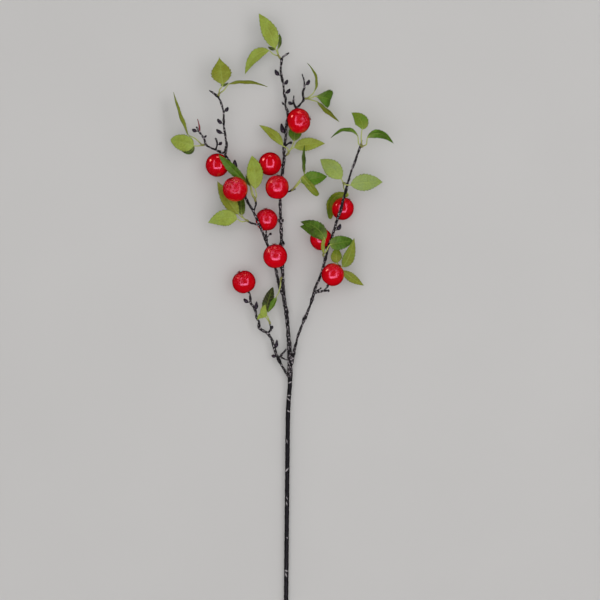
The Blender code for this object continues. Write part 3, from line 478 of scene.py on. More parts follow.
# The stem that each peg stands on
PEG_HOSTS = {
    "main_stem": ("berry_01", "berry_02", "berry_03", "berry_07", "leaf_sprig_top", "leaf_sprig_top_right",
                  "leaf_sprig_upper_middle", "leaf_sprig_middle_right", "hanging_leaf"),
    "left_low_branch": ("berry_08", "leaf_sprig_bottom_left"),
    "left_high_branch": ("berry_04", "berry_05", "berry_06", "leaf_sprig_top_left", "leaf_sprig_far_left",
                         "leaf_sprig_left_middle", "leaf_sprig_left_low"),
    "right_branch": ("berry_09", "berry_10", "berry_11", "leaf_sprig_right_tip", "leaf_sprig_right_upper",
                     "leaf_sprig_right_middle", "leaf_sprig_right_low"),
}

# Stage, in metres. The floor's half side and its depth under the spray
FLOOR_HALF = 9.0
FLOOR_DROP = 0.0002
PANEL_HEIGHT = 1.6
# Overhead panels: centre x, centre y, width, length, share of the panel power
PANELS = {
    "panel_left": (-1.02, 0.45, 0.46, 2.8, 0.75),
    "panel_right": (1.33, 0.45, 0.55, 2.8, 0.9),
    "panel_near": (0.25, -0.88, 2.7, 0.62, 1.15),
}
# Low windows: centre, width, height, share of the low window power, and the point they face
WINDOWS = {
    "window_far": ((0.1, 2.6, 0.36), 0.8, 0.4, 0.6),
    "window_side": ((-2.2, 1.7, 0.3), 0.6, 0.6, 1.1),
}
WINDOW_AIM = (0.0, 0.1, 0.0)
# Broad soft light and long side light: centre, width and length
SOFT_CENTRE = (-0.3, -0.2, 2.4)
SOFT_SIZE = (3.0, 3.0)
KEY_CENTRE = (1.33, 0.35, 1.6)
KEY_SIZE = (0.8, 2.6)
# A lamp's back counts as upright when this much of it is
UPRIGHT = 0.99
FILL_COLOUR = (1.0, 0.995, 0.985, 1.0)
# The camera's place on the layout sheet in millimetres, its sensor in millimetres and its farthest view
CAMERA_PLACE = (300.0, 300.0, 0.0)
SENSOR = 36.0
FARTHEST = 100.0


def stem_height(down):
    """Height of the main stem's axis, which rises evenly from its cut end."""
    return STEM_END_HEIGHT + (STEM_END_DOWN - down) * STEM_RISE


def stem_knot(down):
    """The main stem at a place down the sheet: across, down, height and radius."""
    table = np.array(sorted(MAIN_STEM, key=lambda knot: knot[1]))
    across, radius = (np.interp(down, table[:, 1], table[:, column]) for column in (0, 2))
    return across, down, stem_height(down), radius


def place(points):
    """Turn places on the layout sheet into metres in the frame; further columns become metres too."""
    points = np.asarray(points, float)
    made = points.copy()
    made[..., 0] = points[..., 0] - SHEET_CENTRE[0]
    made[..., 1] = SHEET_CENTRE[1] - points[..., 1]
    return made * MM


def unit(vectors):
    """The vectors at a length of one."""
    return vectors / np.linalg.norm(vectors, axis=-1, keepdims=True)


def noise(points, size, seed):
    """Smooth noise from -1 to 1: a hashed value at each corner of a lattice of that size, mixed
    by the cubic ease of the place within its cell."""
    scaled = points / size + LATTICE_OFFSET
    cell = np.floor(scaled).astype(np.int64)
    part = scaled - cell
    ease = part * part * (3 - 2 * part)
    total = np.zeros(points.shape[:-1])
    for corner in CELL_CORNERS:
        keys = (cell + corner) * HASH_STEPS
        mixed = (keys[..., 0] ^ keys[..., 1] ^ keys[..., 2] ^ (seed * HASH_SEED)) & HASH_MASK
        mixed = (mixed ^ (mixed >> HASH_SHIFT)) * HASH_MIX & HASH_MASK
        value = ((mixed ^ (mixed >> FOLD_SHIFT)) & FOLD_MASK) / HALF_RANGE - 1
        total += value * np.prod(np.where(corner == 1, ease, 1 - ease), axis=-1)
    return total


def layered_noise(points, size, seed, layers=3):
    """Sum of noises, each half the size and half the height of the one before."""
    return sum(noise(points, size / 2 ** k, seed + k) / 2 ** k for k in range(layers))


def bell(distance, width):
    """A bell of height one: the exponential of minus the squared distance in widths."""
    return np.exp(-(distance / width) ** 2)


def smooth_path(knots, step):
    """A curve through knots in metres: each stretch is a cubic whose slope at a knot is the harmonic
    mean of the slopes on either side, so that it never swings past a knot, read off again at even
    steps. A column after the place, such as a radius, goes along. Returns the points and their
    distances from the start."""
    gaps = np.linalg.norm(np.diff(knots[:, :3], axis=0), axis=1)
    at = np.concatenate([[0.0], np.cumsum(gaps)])
    runs = np.diff(knots, axis=0) / gaps[:, None]
    product = runs[:-1] * runs[1:]
    inner = np.divide(2 * product, runs[:-1] + runs[1:], out=np.zeros_like(product), where=product > 0)
    slopes = np.concatenate([runs[:1], inner, runs[-1:]])
    fine = np.linspace(0.0, at[-1], int(at[-1] / step) * CURVE_FINENESS + CURVE_FINENESS)
    low = np.clip(np.searchsorted(at, fine, side="right") - 1, 0, len(at) - 2)
    width = (at[low + 1] - at[low])[:, None]
    share = (fine - at[low])[:, None] / width
    curve = ((1 + 2 * share) * (1 - share) ** 2 * knots[low]
             + share * (1 - share) ** 2 * width * slopes[low]
             + share ** 2 * (3 - 2 * share) * knots[low + 1]
             + share ** 2 * (share - 1) * width * slopes[low + 1])
    walked = np.concatenate([[0.0], np.cumsum(np.linalg.norm(np.diff(curve[:, :3], axis=0), axis=1))])
    even = np.linspace(0.0, walked[-1], max(int(walked[-1] / step), LEAST_STEPS) + 1)
    return np.stack([np.interp(even, walked, column) for column in curve.T], axis=1), even


def cross_axes(path):
    """Sideways and upward unit vectors at each point of a path, square to its direction."""
    forward = unit(np.gradient(path, axis=0))
    reference = np.eye(3)[np.argmin(np.abs(forward).max(axis=0))]
    side = unit(np.cross(reference, forward))
    return side, np.cross(forward, side)


def with_poles(grid):
    """The inner rows of a grid one after another, then the first points of its first and last rows."""
    return np.concatenate([grid[1:-1].reshape(-1, *grid.shape[2:]), grid[0, :1], grid[-1, :1]])


def closed_surface(grid, **values):
    """A closed surface from a grid that closes on itself across and whose first and last rows are a
    pole each, with a value of each kind at each point."""
    rows, columns = grid.shape[0] - 2, grid.shape[1]
    row, column = np.meshgrid(np.arange(rows - 1), np.arange(columns), indexing="ij")
    following = (column + 1) % columns
    quads = np.stack([row * columns + column, row * columns + following,
                      (row + 1) * columns + following, (row + 1) * columns + column], axis=-1)
    edge = np.arange(columns)
    ahead = (edge + 1) % columns
    last = (rows - 1) * columns
    first_fan = np.stack([np.full(columns, rows * columns), ahead, edge], axis=-1)
    last_fan = np.stack([np.full(columns, rows * columns + 1), last + edge, last + ahead], axis=-1)
    laid = {name: with_poles(np.broadcast_to(value, grid.shape[:2])) for name, value in values.items()}
    return Surface(with_poles(grid), quads.reshape(-1, 4), np.concatenate([first_fan, last_fan]), laid)


def on_tube(axis, radius, sides):
    """The points on a tube's skin: a ring at each point of its axis, of that radius at each side."""
    side, up = cross_axes(axis)
    turn = np.linspace(0.0, 2 * math.pi, sides, endpoint=False)[None, :, None]
    reach = np.broadcast_to(radius, (len(axis), sides))[..., None]
    return axis[:, None] + reach * (np.cos(turn) * side[:, None] + np.sin(turn) * up[:, None])


def closed_tube(path, radius, sides, **values):
    """A closed tube: a ring at each inner point of the path, and a pole at either end."""
    grid = on_tube(path, radius, sides)
    grid[0], grid[-1] = path[0], path[-1]
    return closed_surface(grid, **values)


def rounded_tube(path, walked, radius, sides, **values):
    """A closed tube that is drawn in to a round end within one radius of either end."""
    reach = np.minimum(walked, walked[-1] - walked)[:, None]
    short = np.clip(reach / radius, 0.0, 1.0)
    return closed_tube(path, radius * np.sqrt(1 - (1 - short) ** 2), sides, **values)


def sheet_faces(rows, columns):
    """Faces of a thin closed shell: an upper grid, a lower grid turned over, and a wall between
    their rims. The lower grid's points follow the upper grid's."""
    row, column = np.meshgrid(np.arange(rows - 1), np.arange(columns - 1), indexing="ij")
    corner = row * columns + column
    upper = np.stack([corner, corner + columns, corner + columns + 1, corner + 1], axis=-1).reshape(-1, 4)
    count = rows * columns
    lower = upper[:, ::-1] + count
    rim = np.concatenate([np.arange(columns), np.arange(1, rows) * columns + columns - 1,
                          np.arange(count - 2, count - columns - 1, -1),
                          np.arange(rows - 2, -1, -1) * columns])
    wall = np.stack([rim[:-1], rim[1:], rim[1:] + count, rim[:-1] + count], axis=-1)
    return np.concatenate([upper, lower, wall])


def thin_shell(middle, thickness, **values):
    """A thin closed shell about a grid of points: the grid moved half the thickness each way along
    its own normals. Each kind of value comes as that of the upper and that of the lower face."""
    normal = unit(np.cross(np.gradient(middle, axis=0), np.gradient(middle, axis=1)))
    size = middle.shape[:2]
    half = (np.broadcast_to(thickness, size) / 2)[..., None]
    faces = [(middle + normal * half).reshape(-1, 3), (middle - normal * half).reshape(-1, 3)]
    laid = {name: np.concatenate([np.broadcast_to(face, size).ravel() for face in pair])
            for name, pair in values.items()}
    return Surface(np.concatenate(faces), sheet_faces(*size), np.zeros((0, 3), int), laid)


def make_piece(name, surfaces, finish, stands_for=()):
    """One object from its surfaces, with its finish, its body and the solids it stands
    for."""
    sizes = np.cumsum([0] + [len(part.points) for part in surfaces[:-1]])
    points = np.concatenate([part.points for part in surfaces])
    points[:, 2] = np.maximum(points[:, 2], 0.0)
    quads = np.concatenate([part.quads + start for part, start in zip(surfaces, sizes)])
    triangles = np.concatenate([part.triangles + start for part, start in zip(surfaces, sizes)])
    mesh = bpy.data.meshes.new(name)
    mesh.from_pydata(points.tolist(), [], quads.tolist() + triangles.tolist())
    for key in surfaces[0].values:
        layer = mesh.attributes.new(key, "FLOAT", "POINT")
        values = np.concatenate([part.values[key] for part in surfaces]).astype(np.float32)
        layer.data.foreach_set("value", values)
    mesh.materials.append(finish)
    mesh.shade_smooth()
    mesh.set_sharp_from_angle(angle=SMOOTH_ANGLE)
    obj = bpy.data.objects.new(name, mesh)
    bpy.context.scene.collection.objects.link(obj)
    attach(obj, ROOT)
    if stands_for:
        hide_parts(*stands_for)


# Shapes of the spray's own pieces


def scuffed(points):
    """How strongly the main stem is marked pale at each point: the strongest of the pale marks, each a
    bell across its sloping line, cut off by a bell at its reach."""
    across = points[..., 0] / MM + SHEET_CENTRE[0]
    down = SHEET_CENTRE[1] - points[..., 1] / MM
    marks = [bell(down - mark.down - mark.slope * (across - mark.across), mark.thickness)
             * bell(across - mark.across, mark.reach) for mark in PALE_MARKS]
    return np.max(marks, axis=0)


def bark_tube(knots, relief, sides, seed):
    """A knobbly tube along knots: its radius is the path's own, plus layered noise of the place on
    it, plus slow swellings."""
    path, walked = smooth_path(place(knots), STEM_STEP * MM)
    axis, radius = path[:, :3], path[:, 3:]
    skin = on_tube(axis, radius, sides)
    swelling = SWELLING_SHARE * noise(skin, BARK_SWELLING * MM, seed + SWELLING_SEED)
    rough = layered_noise(skin, BARK_LUMP * MM, seed) + swelling
    made = np.clip(radius + relief * rough, radius * LEAST_BARK, radius * MOST_BARK)
    return rounded_tube(axis, walked, made, sides, scuff=scuffed(skin))


def taped_tube(knots, lap, sides):
    """The wrapped stem: a tube whose radius climbs by the tape's lap over each turn of a helix and
    drops back at its edge, with slow unevenness."""
    path, walked = smooth_path(place(knots), STEM_STEP * MM)
    axis, radius = path[:, :3], path[:, 3:]
    turn = np.linspace(0.0, 1.0, sides, endpoint=False)
    drift = TAPE_DRIFT * noise(axis, DRIFT_SIZE * MM, DRIFT_SEED)[:, None]
    climb = (walked[:, None] / (TAPE_PITCH * MM) + turn + drift) % 1.0
    uneven = TAPE_UNEVEN * lap * noise(axis, UNEVEN_SIZE * MM, UNEVEN_SEED)[:, None]
    made = radius + lap * (climb - 0.5) + uneven
    return rounded_tube(axis, walked, made, sides, scuff=scuffed(on_tube(axis, radius, sides)))


def bud_shape(bud, seed):
    """A bud: a thin neck, then half an ellipse's height at each share along it, tapered over its
    outer half, with the edges of its scales as steps that climb round it. Its axis is the parabola
    that leaves the root towards the bend and reaches the tip from there."""
    root, tip = place(bud.root), place(bud.tip)
    share = ((1 - np.cos(math.pi * np.linspace(0.0, 1.0, BUD_STATIONS))) / 2)[:, None]
    bend = root + (tip - root) * np.array(BUD_BEND)
    path = root * (1 - share) ** 2 + bend * 2 * share * (1 - share) + tip * share ** 2
    belly = np.clip((share - BUD_NECK) / (1 - BUD_NECK), 0.0, 1.0)
    taper = 1 - BUD_TAPER * np.clip(1 - TAPER_RATE * (1 - belly), 0.0, 1.0)
    drop = np.maximum(2 * np.sqrt(belly * (1 - belly)) * taper, BUD_NECK * (share < 0.5))
    turn = np.linspace(0.0, 1.0, BUD_SIDES, endpoint=False)
    scale = (share * SCALE_ROWS + turn * SCALE_TURNS + SCALE_SHIFT * seed) % 1.0
    radius = bud.width * MM / 2 * BUD_FULLNESS * drop * (1 + SCALE_STEP * (0.5 - scale))
    return closed_tube(path, radius, BUD_SIDES, scuff=0.0)


def peg_tube(root, end, relief, seed):
    """A peg out of the bark, flared at its root."""
    root, end = np.asarray(root), np.asarray(end)
    reach = np.linspace(0.0, 1.0, PEG_STATIONS)[:, None]
    flare = PEG_RADIUS * (1 + PEG_FLARE * bell(reach, FLARE_REACH))
    knots = np.concatenate([root + (end - root) * reach, flare], axis=1)
    return bark_tube(knots, relief * PEG_RELIEF, TWIG_SIDES, seed)


def pegs_on(host, relief):
    """The pegs of a stem's berries and sprigs."""
    pegs = [(berry.name, berry.root, berry.centre, BERRY_PEG_SEED + k) for k, berry in enumerate(BERRIES)]
    pegs += [(sprig.name, sprig.root, sprig.end, SPRIG_PEG_SEED + k) for k, sprig in enumerate(SPRIGS)]
    return [peg_tube(root, end, relief, seed) for name, root, end, seed in pegs if name in PEG_HOSTS[host]]


def on_berry(berry, local):
    """Turn places about a berry's own axis into places in the frame. The berry's centre is lowered
    where its coat would stand above the solids' highest point."""
    across, down, height = berry.centre
    highest = cad_box[1][2] / MM - berry.radius * (BERRY_COAT + BERRY_SWELL)
    axis = unit(np.array(berry.crown, float) * (1, -1, 1))
    first = unit(np.cross(np.eye(3)[np.argmin(np.abs(axis))], axis))
    turned = local @ np.stack([first, np.cross(axis, first), axis])
    return place((across, down, min(height, highest))) + turned


def crown_height(berry, ring):
    """Height of a berry's skin along its axis, over that of a ball, at a distance from the axis in
    radii."""
    return berry.height - DIMPLE_DEPTH * bell(ring, DIMPLE_WIDTH)


def berry_skin(berry, relief, seed):
    """A berry: a ball stretched along its crown's axis by its height, dimpled at both ends by a bell
    of the distance from that axis, with slow swells, and with grains that fade away from the crown."""
    polar = math.pi * np.linspace(0.0, 1.0, BERRY_RINGS + 1)[:, None]
    around = np.linspace(0.0, 2 * math.pi, BERRY_SEGMENTS, endpoint=False)
    ring = np.sin(polar)
    sides = ring * np.cos(around), ring * np.sin(around), np.cos(polar)
    ball = np.stack(np.broadcast_arrays(*sides), axis=-1)
    local = ball.copy()
    local[..., 2] *= crown_height(berry, ring)
    grain = berry.grain * np.exp(-(polar / GRAIN_REACH) ** GRAIN_FADE)
    radius = berry.radius * MM
    swell = BERRY_COAT + BERRY_SWELL * noise(ball, SWELL_SIZE, seed)
    lump = relief * grain * layered_noise(ball * radius, GRAIN_SIZE * MM, seed + GRAIN_SEED)
    local = local * radius * swell[..., None] + ball * lump[..., None]
    skin = closed_surface(on_berry(berry, local), grain=grain)
    # Its rows run from the crown down, so its faces are turned to look outward
    return skin._replace(quads=skin.quads[:, ::-1], triangles=skin.triangles[:, ::-1])


def sepal(berry, index):
    """One dried sepal of the crown: a tongue that leaves the axis, stands up off the skin by the
    sine of its length, and narrows to a point, given a thin wall."""
    share = np.linspace(0.0, 1.0, SEPAL_ALONG)[:, None]
    across = np.linspace(-1.0, 1.0, SEPAL_ACROSS)
    reach = (SEPAL_START + SEPAL_LENGTH * share) * MM
    half = (SEPAL_HALF * (1 - share) ** SEPAL_BLUNT + SEPAL_POINT) * MM
    radius = berry.radius * MM
    ring = reach / radius
    skin = crown_height(berry, ring) * np.sqrt(1 - ring ** 2) * BERRY_COAT * radius
    lift = SEPAL_SEAT + SEPAL_LIFT * np.sin(math.pi * share * SEPAL_ARCH)
    hollow = SEPAL_HOLLOW * across ** 2 * (1 - share)
    local = np.stack(np.broadcast_arrays(reach, half * across, skin + (lift - hollow) * MM), axis=-1)
    angle = 2 * math.pi * index / SEPALS + SEPAL_STRAY * math.sin(STRAY_STEP * index)
    cos, sin = math.cos(angle), math.sin(angle)
    spin = np.array([[cos, sin, 0], [-sin, cos, 0], [0, 0, 1]])
    return thin_shell(on_berry(berry, local @ spin), SEPAL_THICKNESS * MM)


def rib_point(leaf, share):
    """The rib is the parabola through its base, middle and tip, at shares from 0 to 1."""
    share = np.asarray(share, float)[..., None]
    base, middle, tip = place(leaf.base), place(leaf.middle), place(leaf.tip)
    return (base * (1 - share) * (1 - 2 * share) + middle * 4 * share * (1 - share)
            + tip * share * (2 * share - 1))


def blade_axes(leaf, share):
    """The unit vectors across a blade and square to it at each share of its rib: level ones, rolled
    about the rib."""
    step = 1.0 / BLADE_ALONG
    ahead = rib_point(leaf, np.minimum(share + step, 1.0))
    behind = rib_point(leaf, np.maximum(share - step, 0.0))
    forward = unit(ahead - behind)
    flat = unit(np.cross((0.0, 0.0, 1.0), forward))
    rise = np.cross(forward, flat)
    roll = math.radians(leaf.roll)
    return flat * math.cos(roll) + rise * math.sin(roll), rise * math.cos(roll) - flat * math.sin(roll)


def blade_veins(leaf, along, aside, off):
    """How high the rib and the side veins stand, from 0 to 1. The rib is a bell of the distance from
    it that fades towards the tip. The side veins are bells of the distance from the nearest of a
    set of even slanting lines, and fade towards the rib and the rim."""
    length = np.linalg.norm(place(leaf.tip) - place(leaf.base))
    pitch = length / (VEIN_PAIRS + VEIN_SPARE)
    slanted = along * length - VEIN_SLANT * aside
    nearest = np.abs((slanted / pitch + VEIN_START) % 1.0 - 0.5) * pitch
    side = bell(nearest, VEIN_WIDTH * MM) * (1 - off ** 2) * np.clip(aside / (VEIN_ROOT * MM), 0.0, 1.0)
    return bell(aside, RIB_WIDTH * MM) * (1 - RIB_FADE * along), side


def blade(leaf, shape, seed):
    """A leaf blade on a grid of shares along (0 to 1) and across (-1 to 1). Its half width is an
    oval, the sine of pi times the eased share along, cut into forward teeth at the rim. Both halves
    lift from the rib by the fold, crown between rib and rim, and wave along the rim. The rib and
    the side veins stand out on the underside and sink in on the upper side."""
    share = np.linspace(0.0, 1.0, BLADE_ALONG)
    along = share[:, None]
    spread = np.linspace(-1.0, 1.0, BLADE_ACROSS + 1)
    across = np.sign(spread) * np.abs(spread) ** RIB_GATHER
    off = np.abs(across)
    oval = np.maximum(np.sin(math.pi * along ** leaf.shift), 0.0) ** leaf.fullness
    saw = (along * TOOTH_COUNT + 0.5 * (across > 0)) % 1.0
    tooth = 1 - shape.tooth_depth * (1 - saw) * off ** TOOTH_EDGE
    neck = (BLADE_NECK * (1 - along) + BLADE_TIP * along) / 2
    half = np.maximum(leaf.width / 2 * oval * OVAL_GROWTH * tooth, neck) * MM
    waves = 2 * math.pi * (WAVE_COUNT * along + WAVE_SHIFT * seed) + (across > 0) * WAVE_SIDES
    fold = math.radians(leaf.fold)
    lift = half * (off * math.sin(fold) + CROWNING * (off - off ** 2)
                   + WAVE_HEIGHT * np.sin(waves) * off ** 3 * oval)
    left, normal = (axes[:, None] for axes in blade_axes(leaf, share))
    middle = rib_point(leaf, share)[:, None] + left * (half * across * math.cos(fold))[..., None]
    main, side = blade_veins(leaf, along, half * off, off)
    shows_under = leaf.tone > (GREEN + OLIVE) / 2
    relief = shape.vein_relief * np.maximum(RIB_HEIGHT * main, side) * VEIN_SHOW
    middle = middle + normal * (lift + relief * (1 if shows_under else -1))[..., None]
    vein = np.maximum(main, VEIN_TINT * side) * oval ** TINT_FADE
    rim = np.clip((off - RIM_START) / (1 - RIM_START), 0.0, 1.0)
    tones = (leaf.tone, HIDDEN_GREEN if shows_under else HIDDEN_PALE)
    return thin_shell(middle, shape.leaf_thickness * (1 - RIM_THINNING * off ** 3), tone=tones,
                      vein=(vein, vein), rim=(rim, rim), reach=(along, along))


def stalk_tube(points, start_radius, end_radius):
    """A leaf stalk: a tube through its points that narrows evenly; freshness is the share along it."""
    path, walked = smooth_path(points, STALK_STEP * MM)
    share = (walked / walked[-1])[:, None]
    radius = start_radius + (end_radius - start_radius) * share
    return rounded_tube(path, walked, radius, STALK_SIDES, fresh=share)


def socket_sleeve(sprig):
    """The sleeve that holds the stalks on the peg: a short tube, widest at its mouth, that waves
    slightly along its length."""
    root, end = place(sprig.root), place(sprig.end)
    mouth = root + (end - root) * SLEEVE_START
    top = end + unit(end - root) * SLEEVE_LENGTH * MM
    share = np.linspace(0.0, 1.0, SLEEVE_STATIONS)
    wave = SLEEVE_WAVE * np.sin(SLEEVE_WAVES * math.pi * share)
    radius = (SLEEVE_RADIUS - SLEEVE_TAPER * share + wave) * MM
    return rounded_tube(mouth + (top - mouth) * share[:, None], share * np.linalg.norm(top - mouth),
                        radius[:, None], STALK_SIDES, fresh=SLEEVE_FRESH)


# Finishes. In a mottle nearly everything lies in the middle of its range
MIDDLE = (0.3, 0.7)
COOL_SHINE = (0.7, 1.0, 0.85, 1.0)
PINK_SHINE = (1.0, 0.4, 0.6, 1.0)
LENGTHWAYS = (1.0, 0.12, 1.0)


class Finish:
    """A material, its shader with constant sockets set, and ways to make the nodes that feed it."""

    def __init__(self, name, **sockets):
        self.material = bpy.data.materials.new(name)
        self.material.use_nodes = True
        self.tree = self.material.node_tree
        self.shader = self.tree.nodes["Principled BSDF"]
        for socket, value in {"Metallic": 0.0, **sockets}.items():
            self.shader.inputs[socket.replace("_", " ")].default_value = value
        self.where = self.node("ShaderNodeTexCoord", {}, "Object")

    def node(self, kind, inputs, output, **settings):
        """One output of a node with its settings, its inputs joined to sockets or set to values."""
        made = self.tree.nodes.new(kind)
        for name, value in settings.items():
            setattr(made, name, value)
        for name, value in inputs.items():
            if isinstance(value, bpy.types.NodeSocket):
                self.tree.links.new(value, made.inputs[name])
            else:
                made.inputs[name].default_value = value
        return made.outputs[output]

    def mottle(self, per_metre, detail=3.0, roughness=0.6, where=None):
        """Noise from 0 to 1 with so many lumps to a metre."""
        return self.node("ShaderNodeTexNoise", {"Vector": where or self.where, "Scale": per_metre,
                                                "Detail": detail, "Roughness": roughness}, "Fac")

    def laid(self, name):
        """A value that the surface carries at each point."""
        return self.node("ShaderNodeAttribute", {}, "Fac", attribute_name=name)

    def ramp(self, factor, stops):
        """A colour band: stops are colours at their places."""
        output = self.node("ShaderNodeValToRGB", {"Fac": factor}, "Color")
        band = output.node.color_ramp
        while len(band.elements) < len(stops):
            band.elements.new(1.0)
        for element, (at, colour) in zip(band.elements, stops.items()):
            element.position = at
            element.color = (*colour, 1.0)
        return output

    def shades(self, factor, colour, strengths):
        """A band of one colour, at the strengths that are given at their places."""
        return self.ramp(factor, {at: shade(colour, strength) for at, strength in strengths.items()})

    def remap(self, value, old, new=(0.0, 1.0)):
        """The value, with one range turned into another and held inside it."""
        return self.node("ShaderNodeMapRange", {"Value": value, "From Min": old[0], "From Max": old[1],
                                                "To Min": new[0], "To Max": new[1]}, "Result")

    def maths(self, operation, first, second):
        """Two values added or multiplied."""
        return self.node("ShaderNodeMath", {0: first, 1: second}, "Value", operation=operation)

    def blend(self, factor, first, colour):
        """The first colour, blended into a plain one by the factor."""
        return self.node("ShaderNodeMix", {0: factor, 6: first, 7: (*colour, 1.0)}, 2, data_type="RGBA")

    def close(self, colour, roughness=None, height=None, depth=0.0):
        """Lead the colour, the roughness and fine relief of that depth to the shader. Returns the
        material."""
        ends = {"Base Color": colour}
        if roughness:
            ends["Roughness"] = roughness
        if height:
            ends["Normal"] = self.node("ShaderNodeBump", {"Height": height, "Distance": depth,
                                                          "Strength": 1.0}, "Normal")
        for socket, output in ends.items():
            self.tree.links.new(output, self.shader.inputs[socket])
        return self.material


def shade(colour, strength):
    """The colour at that strength."""
    return tuple(strength * part for part in colour)


def tape_finish(colours):
    """Smooth black floral tape: fine lengthways streaks, and dull grey marks at listed places on the stem.
    """
    made = Finish("stem_tape", Specular_IOR_Level=0.17, Specular_Tint=COOL_SHINE)
    lengthways = made.node("ShaderNodeMapping", {"Vector": made.where, "Scale": LENGTHWAYS}, "Vector")
    streaks = made.mottle(per_metre=1400, where=lengthways)
    tone = made.shades(streaks, colours.tape, {0.35: 0.6, 0.6: 1, 0.75: 3.5})
    # Pale grey marks at the listed places on the stem
    tone = made.blend(made.remap(made.laid("scuff"), (0.15, 0.8)), tone, colours.scuff)
    roughness = made.remap(made.mottle(per_metre=260), MIDDLE, (0.22, 0.42))
    return made.close(tone, roughness, streaks, depth=0.00012)


def bark_finish(colours):
    """Near-black moulded bark: brown-grey mottling with small pale specks on its lumps."""
    made = Finish("bark", Specular_IOR_Level=0.13, Specular_Tint=COOL_SHINE)
    broad = made.mottle(per_metre=330, detail=4)
    fine = made.mottle(per_metre=620, detail=1)
    tone = made.shades(broad, colours.bark, {0.38: 0.3, 0.52: 1, 0.68: 2.6})
    tone = made.blend(made.remap(fine, (0.585, 0.65), (0, 0.85)), tone, colours.bark_speck)
    # Pale grey marks at the listed places on the stem
    tone = made.blend(made.remap(made.laid("scuff"), (0.3, 0.9)), tone, colours.scuff)
    roughness = made.remap(fine, MIDDLE, (0.6, 0.36))
    return made.close(tone, roughness, made.maths("ADD", broad, fine), depth=0.0005)


def bud_finish(colours):
    """Glossy blue-black bud scales."""
    made = Finish("bud_scales", Specular_IOR_Level=0.4, Coat_Weight=0.25, Coat_Roughness=0.12)
    blotch = made.mottle(per_metre=600)
    tone = made.shades(blotch, colours.bud, {0.35: 0.5, 0.7: 1.8})
    return made.close(tone, made.remap(blotch, MIDDLE, (0.2, 0.34)), blotch, depth=0.0001)


def berry_finish(colours):
    """Clear-lacquered red: slow deepening patches, and a sugary grain round the crown, with pale pink
    specks on its tops that are painted glints and dark specks in its hollows that are painted shade."""
    made = Finish("berry_lacquer", Specular_Tint=PINK_SHINE, Specular_IOR_Level=0.9, Coat_Weight=0.7,
                  Coat_Roughness=0.12)
    crown = made.laid("grain")
    grains = made.node("ShaderNodeTexVoronoi", {"Vector": made.where, "Scale": 450.0}, "Distance")
    fine = made.mottle(per_metre=560, detail=2, roughness=0.7)
    tone = made.shades(made.mottle(per_metre=70, detail=2), colours.berry, {0.3: 0.82, 0.65: 1})
    # Pale pink specks on the tops of the grain: painted glints
    painted_glint = made.maths("MULTIPLY", crown, made.remap(fine, (0.55, 0.68), (0, 0.75)))
    tone = made.blend(painted_glint, tone, colours.berry_glint)
    # Dark specks in the hollows of the grain: painted shade
    painted_pit_shade = made.maths("MULTIPLY", crown, made.remap(fine, (0.4, 0.28), (0, 0.4)))
    tone = made.blend(painted_pit_shade, tone, shade(colours.berry, 0.45))
    height = made.maths("MULTIPLY", crown, made.maths("ADD", grains, fine))
    return made.close(tone, made.remap(crown, (0, 1), (0.12, 0.15)), height, depth=0.0009)


def sepal_finish(colours):
    """Dry sepals under the same lacquer as the berry, dark red to brown."""
    made = Finish("dry_sepal", Roughness=0.3, Coat_Weight=0.6, Coat_Roughness=0.12)
    blotch = made.mottle(per_metre=1500)
    tone = made.shades(blotch, colours.sepal, {0.3: 0.5, 0.5: 1, 0.7: 1.3})
    return made.close(tone, height=blotch, depth=0.00015)


def leaf_finish(colours):
    """Leaf cloth and lacquer: the tone picks dark, green, olive, pale or milky; veins are lighter; the
    base is lighter too, partly paler cloth and partly painted sheen; rims darker, with fine weave and slow
    yellowing over each blade."""
    made = Finish("leaf_blade", Specular_IOR_Level=0.13)
    yellowing = made.remap(made.mottle(per_metre=130), MIDDLE, (-0.12, 0.1))
    tone = made.maths("ADD", made.laid("tone"), yellowing)
    stops = {DARK: colours.leaf_dark, GREEN: colours.leaf_green, OLIVE: colours.leaf_olive,
             PALE: colours.leaf_pale, MILKY: colours.leaf_milky}
    stops = {at / MILKY: tint for at, tint in stops.items()}
    colour = made.ramp(made.maths("DIVIDE", tone, MILKY), stops)
    weave = made.mottle(per_metre=700, detail=4, roughness=0.7)
    strength = made.remap(weave, MIDDLE, (0.76, 1.2))
    colour = made.node("ShaderNodeVectorMath", {0: colour, "Scale": strength}, "Vector", operation="SCALE")
    colour = made.blend(made.remap(made.laid("vein"), (0, 1), (0, 0.7)), colour, colours.leaf_vein)
    # Lighter towards the base of each blade: partly paler cloth, partly painted sheen
    colour = made.blend(made.remap(made.laid("reach"), (0.35, 0), (0, 0.28)), colour, colours.leaf_vein)
    colour = made.blend(made.remap(made.laid("rim"), (0, 1), (0, 0.6)), colour, colours.leaf_rim)
    return made.close(colour, made.remap(tone, (0.2, 0.9), (0.38, 0.56)), weave, depth=0.0001)


def stalk_finish(colours):
    """Pale yellow-green stalks that brown towards the sleeve."""
    made = Finish("leaf_stalk", Roughness=0.45, Specular_IOR_Level=0.2)
    blotch = made.mottle(per_metre=500)
    tone = made.ramp(made.laid("fresh"), {0: colours.stalk_brown, 0.3: colours.stalk, 1: colours.stalk})
    tone = made.blend(made.remap(blotch, (0.4, 0.75), (0, 0.3)), tone, colours.stalk_brown)
    return made.close(tone, height=blotch, depth=0.00012)


def floor_finish(colours):
    """Matt pale board with the faintest cloudiness."""
    made = Finish("pale_board", Roughness=0.85, Specular_IOR_Level=0.15)
    clouds = made.mottle(per_metre=5, detail=2)
    return made.close(made.shades(clouds, colours.floor, {0.3: 0.975, 0.7: 1}))


# What a user can change


def length(name, description, default):
    return bpy.props.FloatProperty(name=name, description=description, default=default, min=0.0,
                                   precision=5, unit="LENGTH")


def colour(name, description, default):
    return bpy.props.FloatVectorProperty(name=name, description=description, default=default, min=0.0,
                                         max=1.0, size=3, subtype="COLOR")


def brightness(name, lamps, default):
    description = f"Brightness of {lamps}, in watts to a square metre"
    return bpy.props.FloatProperty(name=name, description=description, default=default, min=0.0)


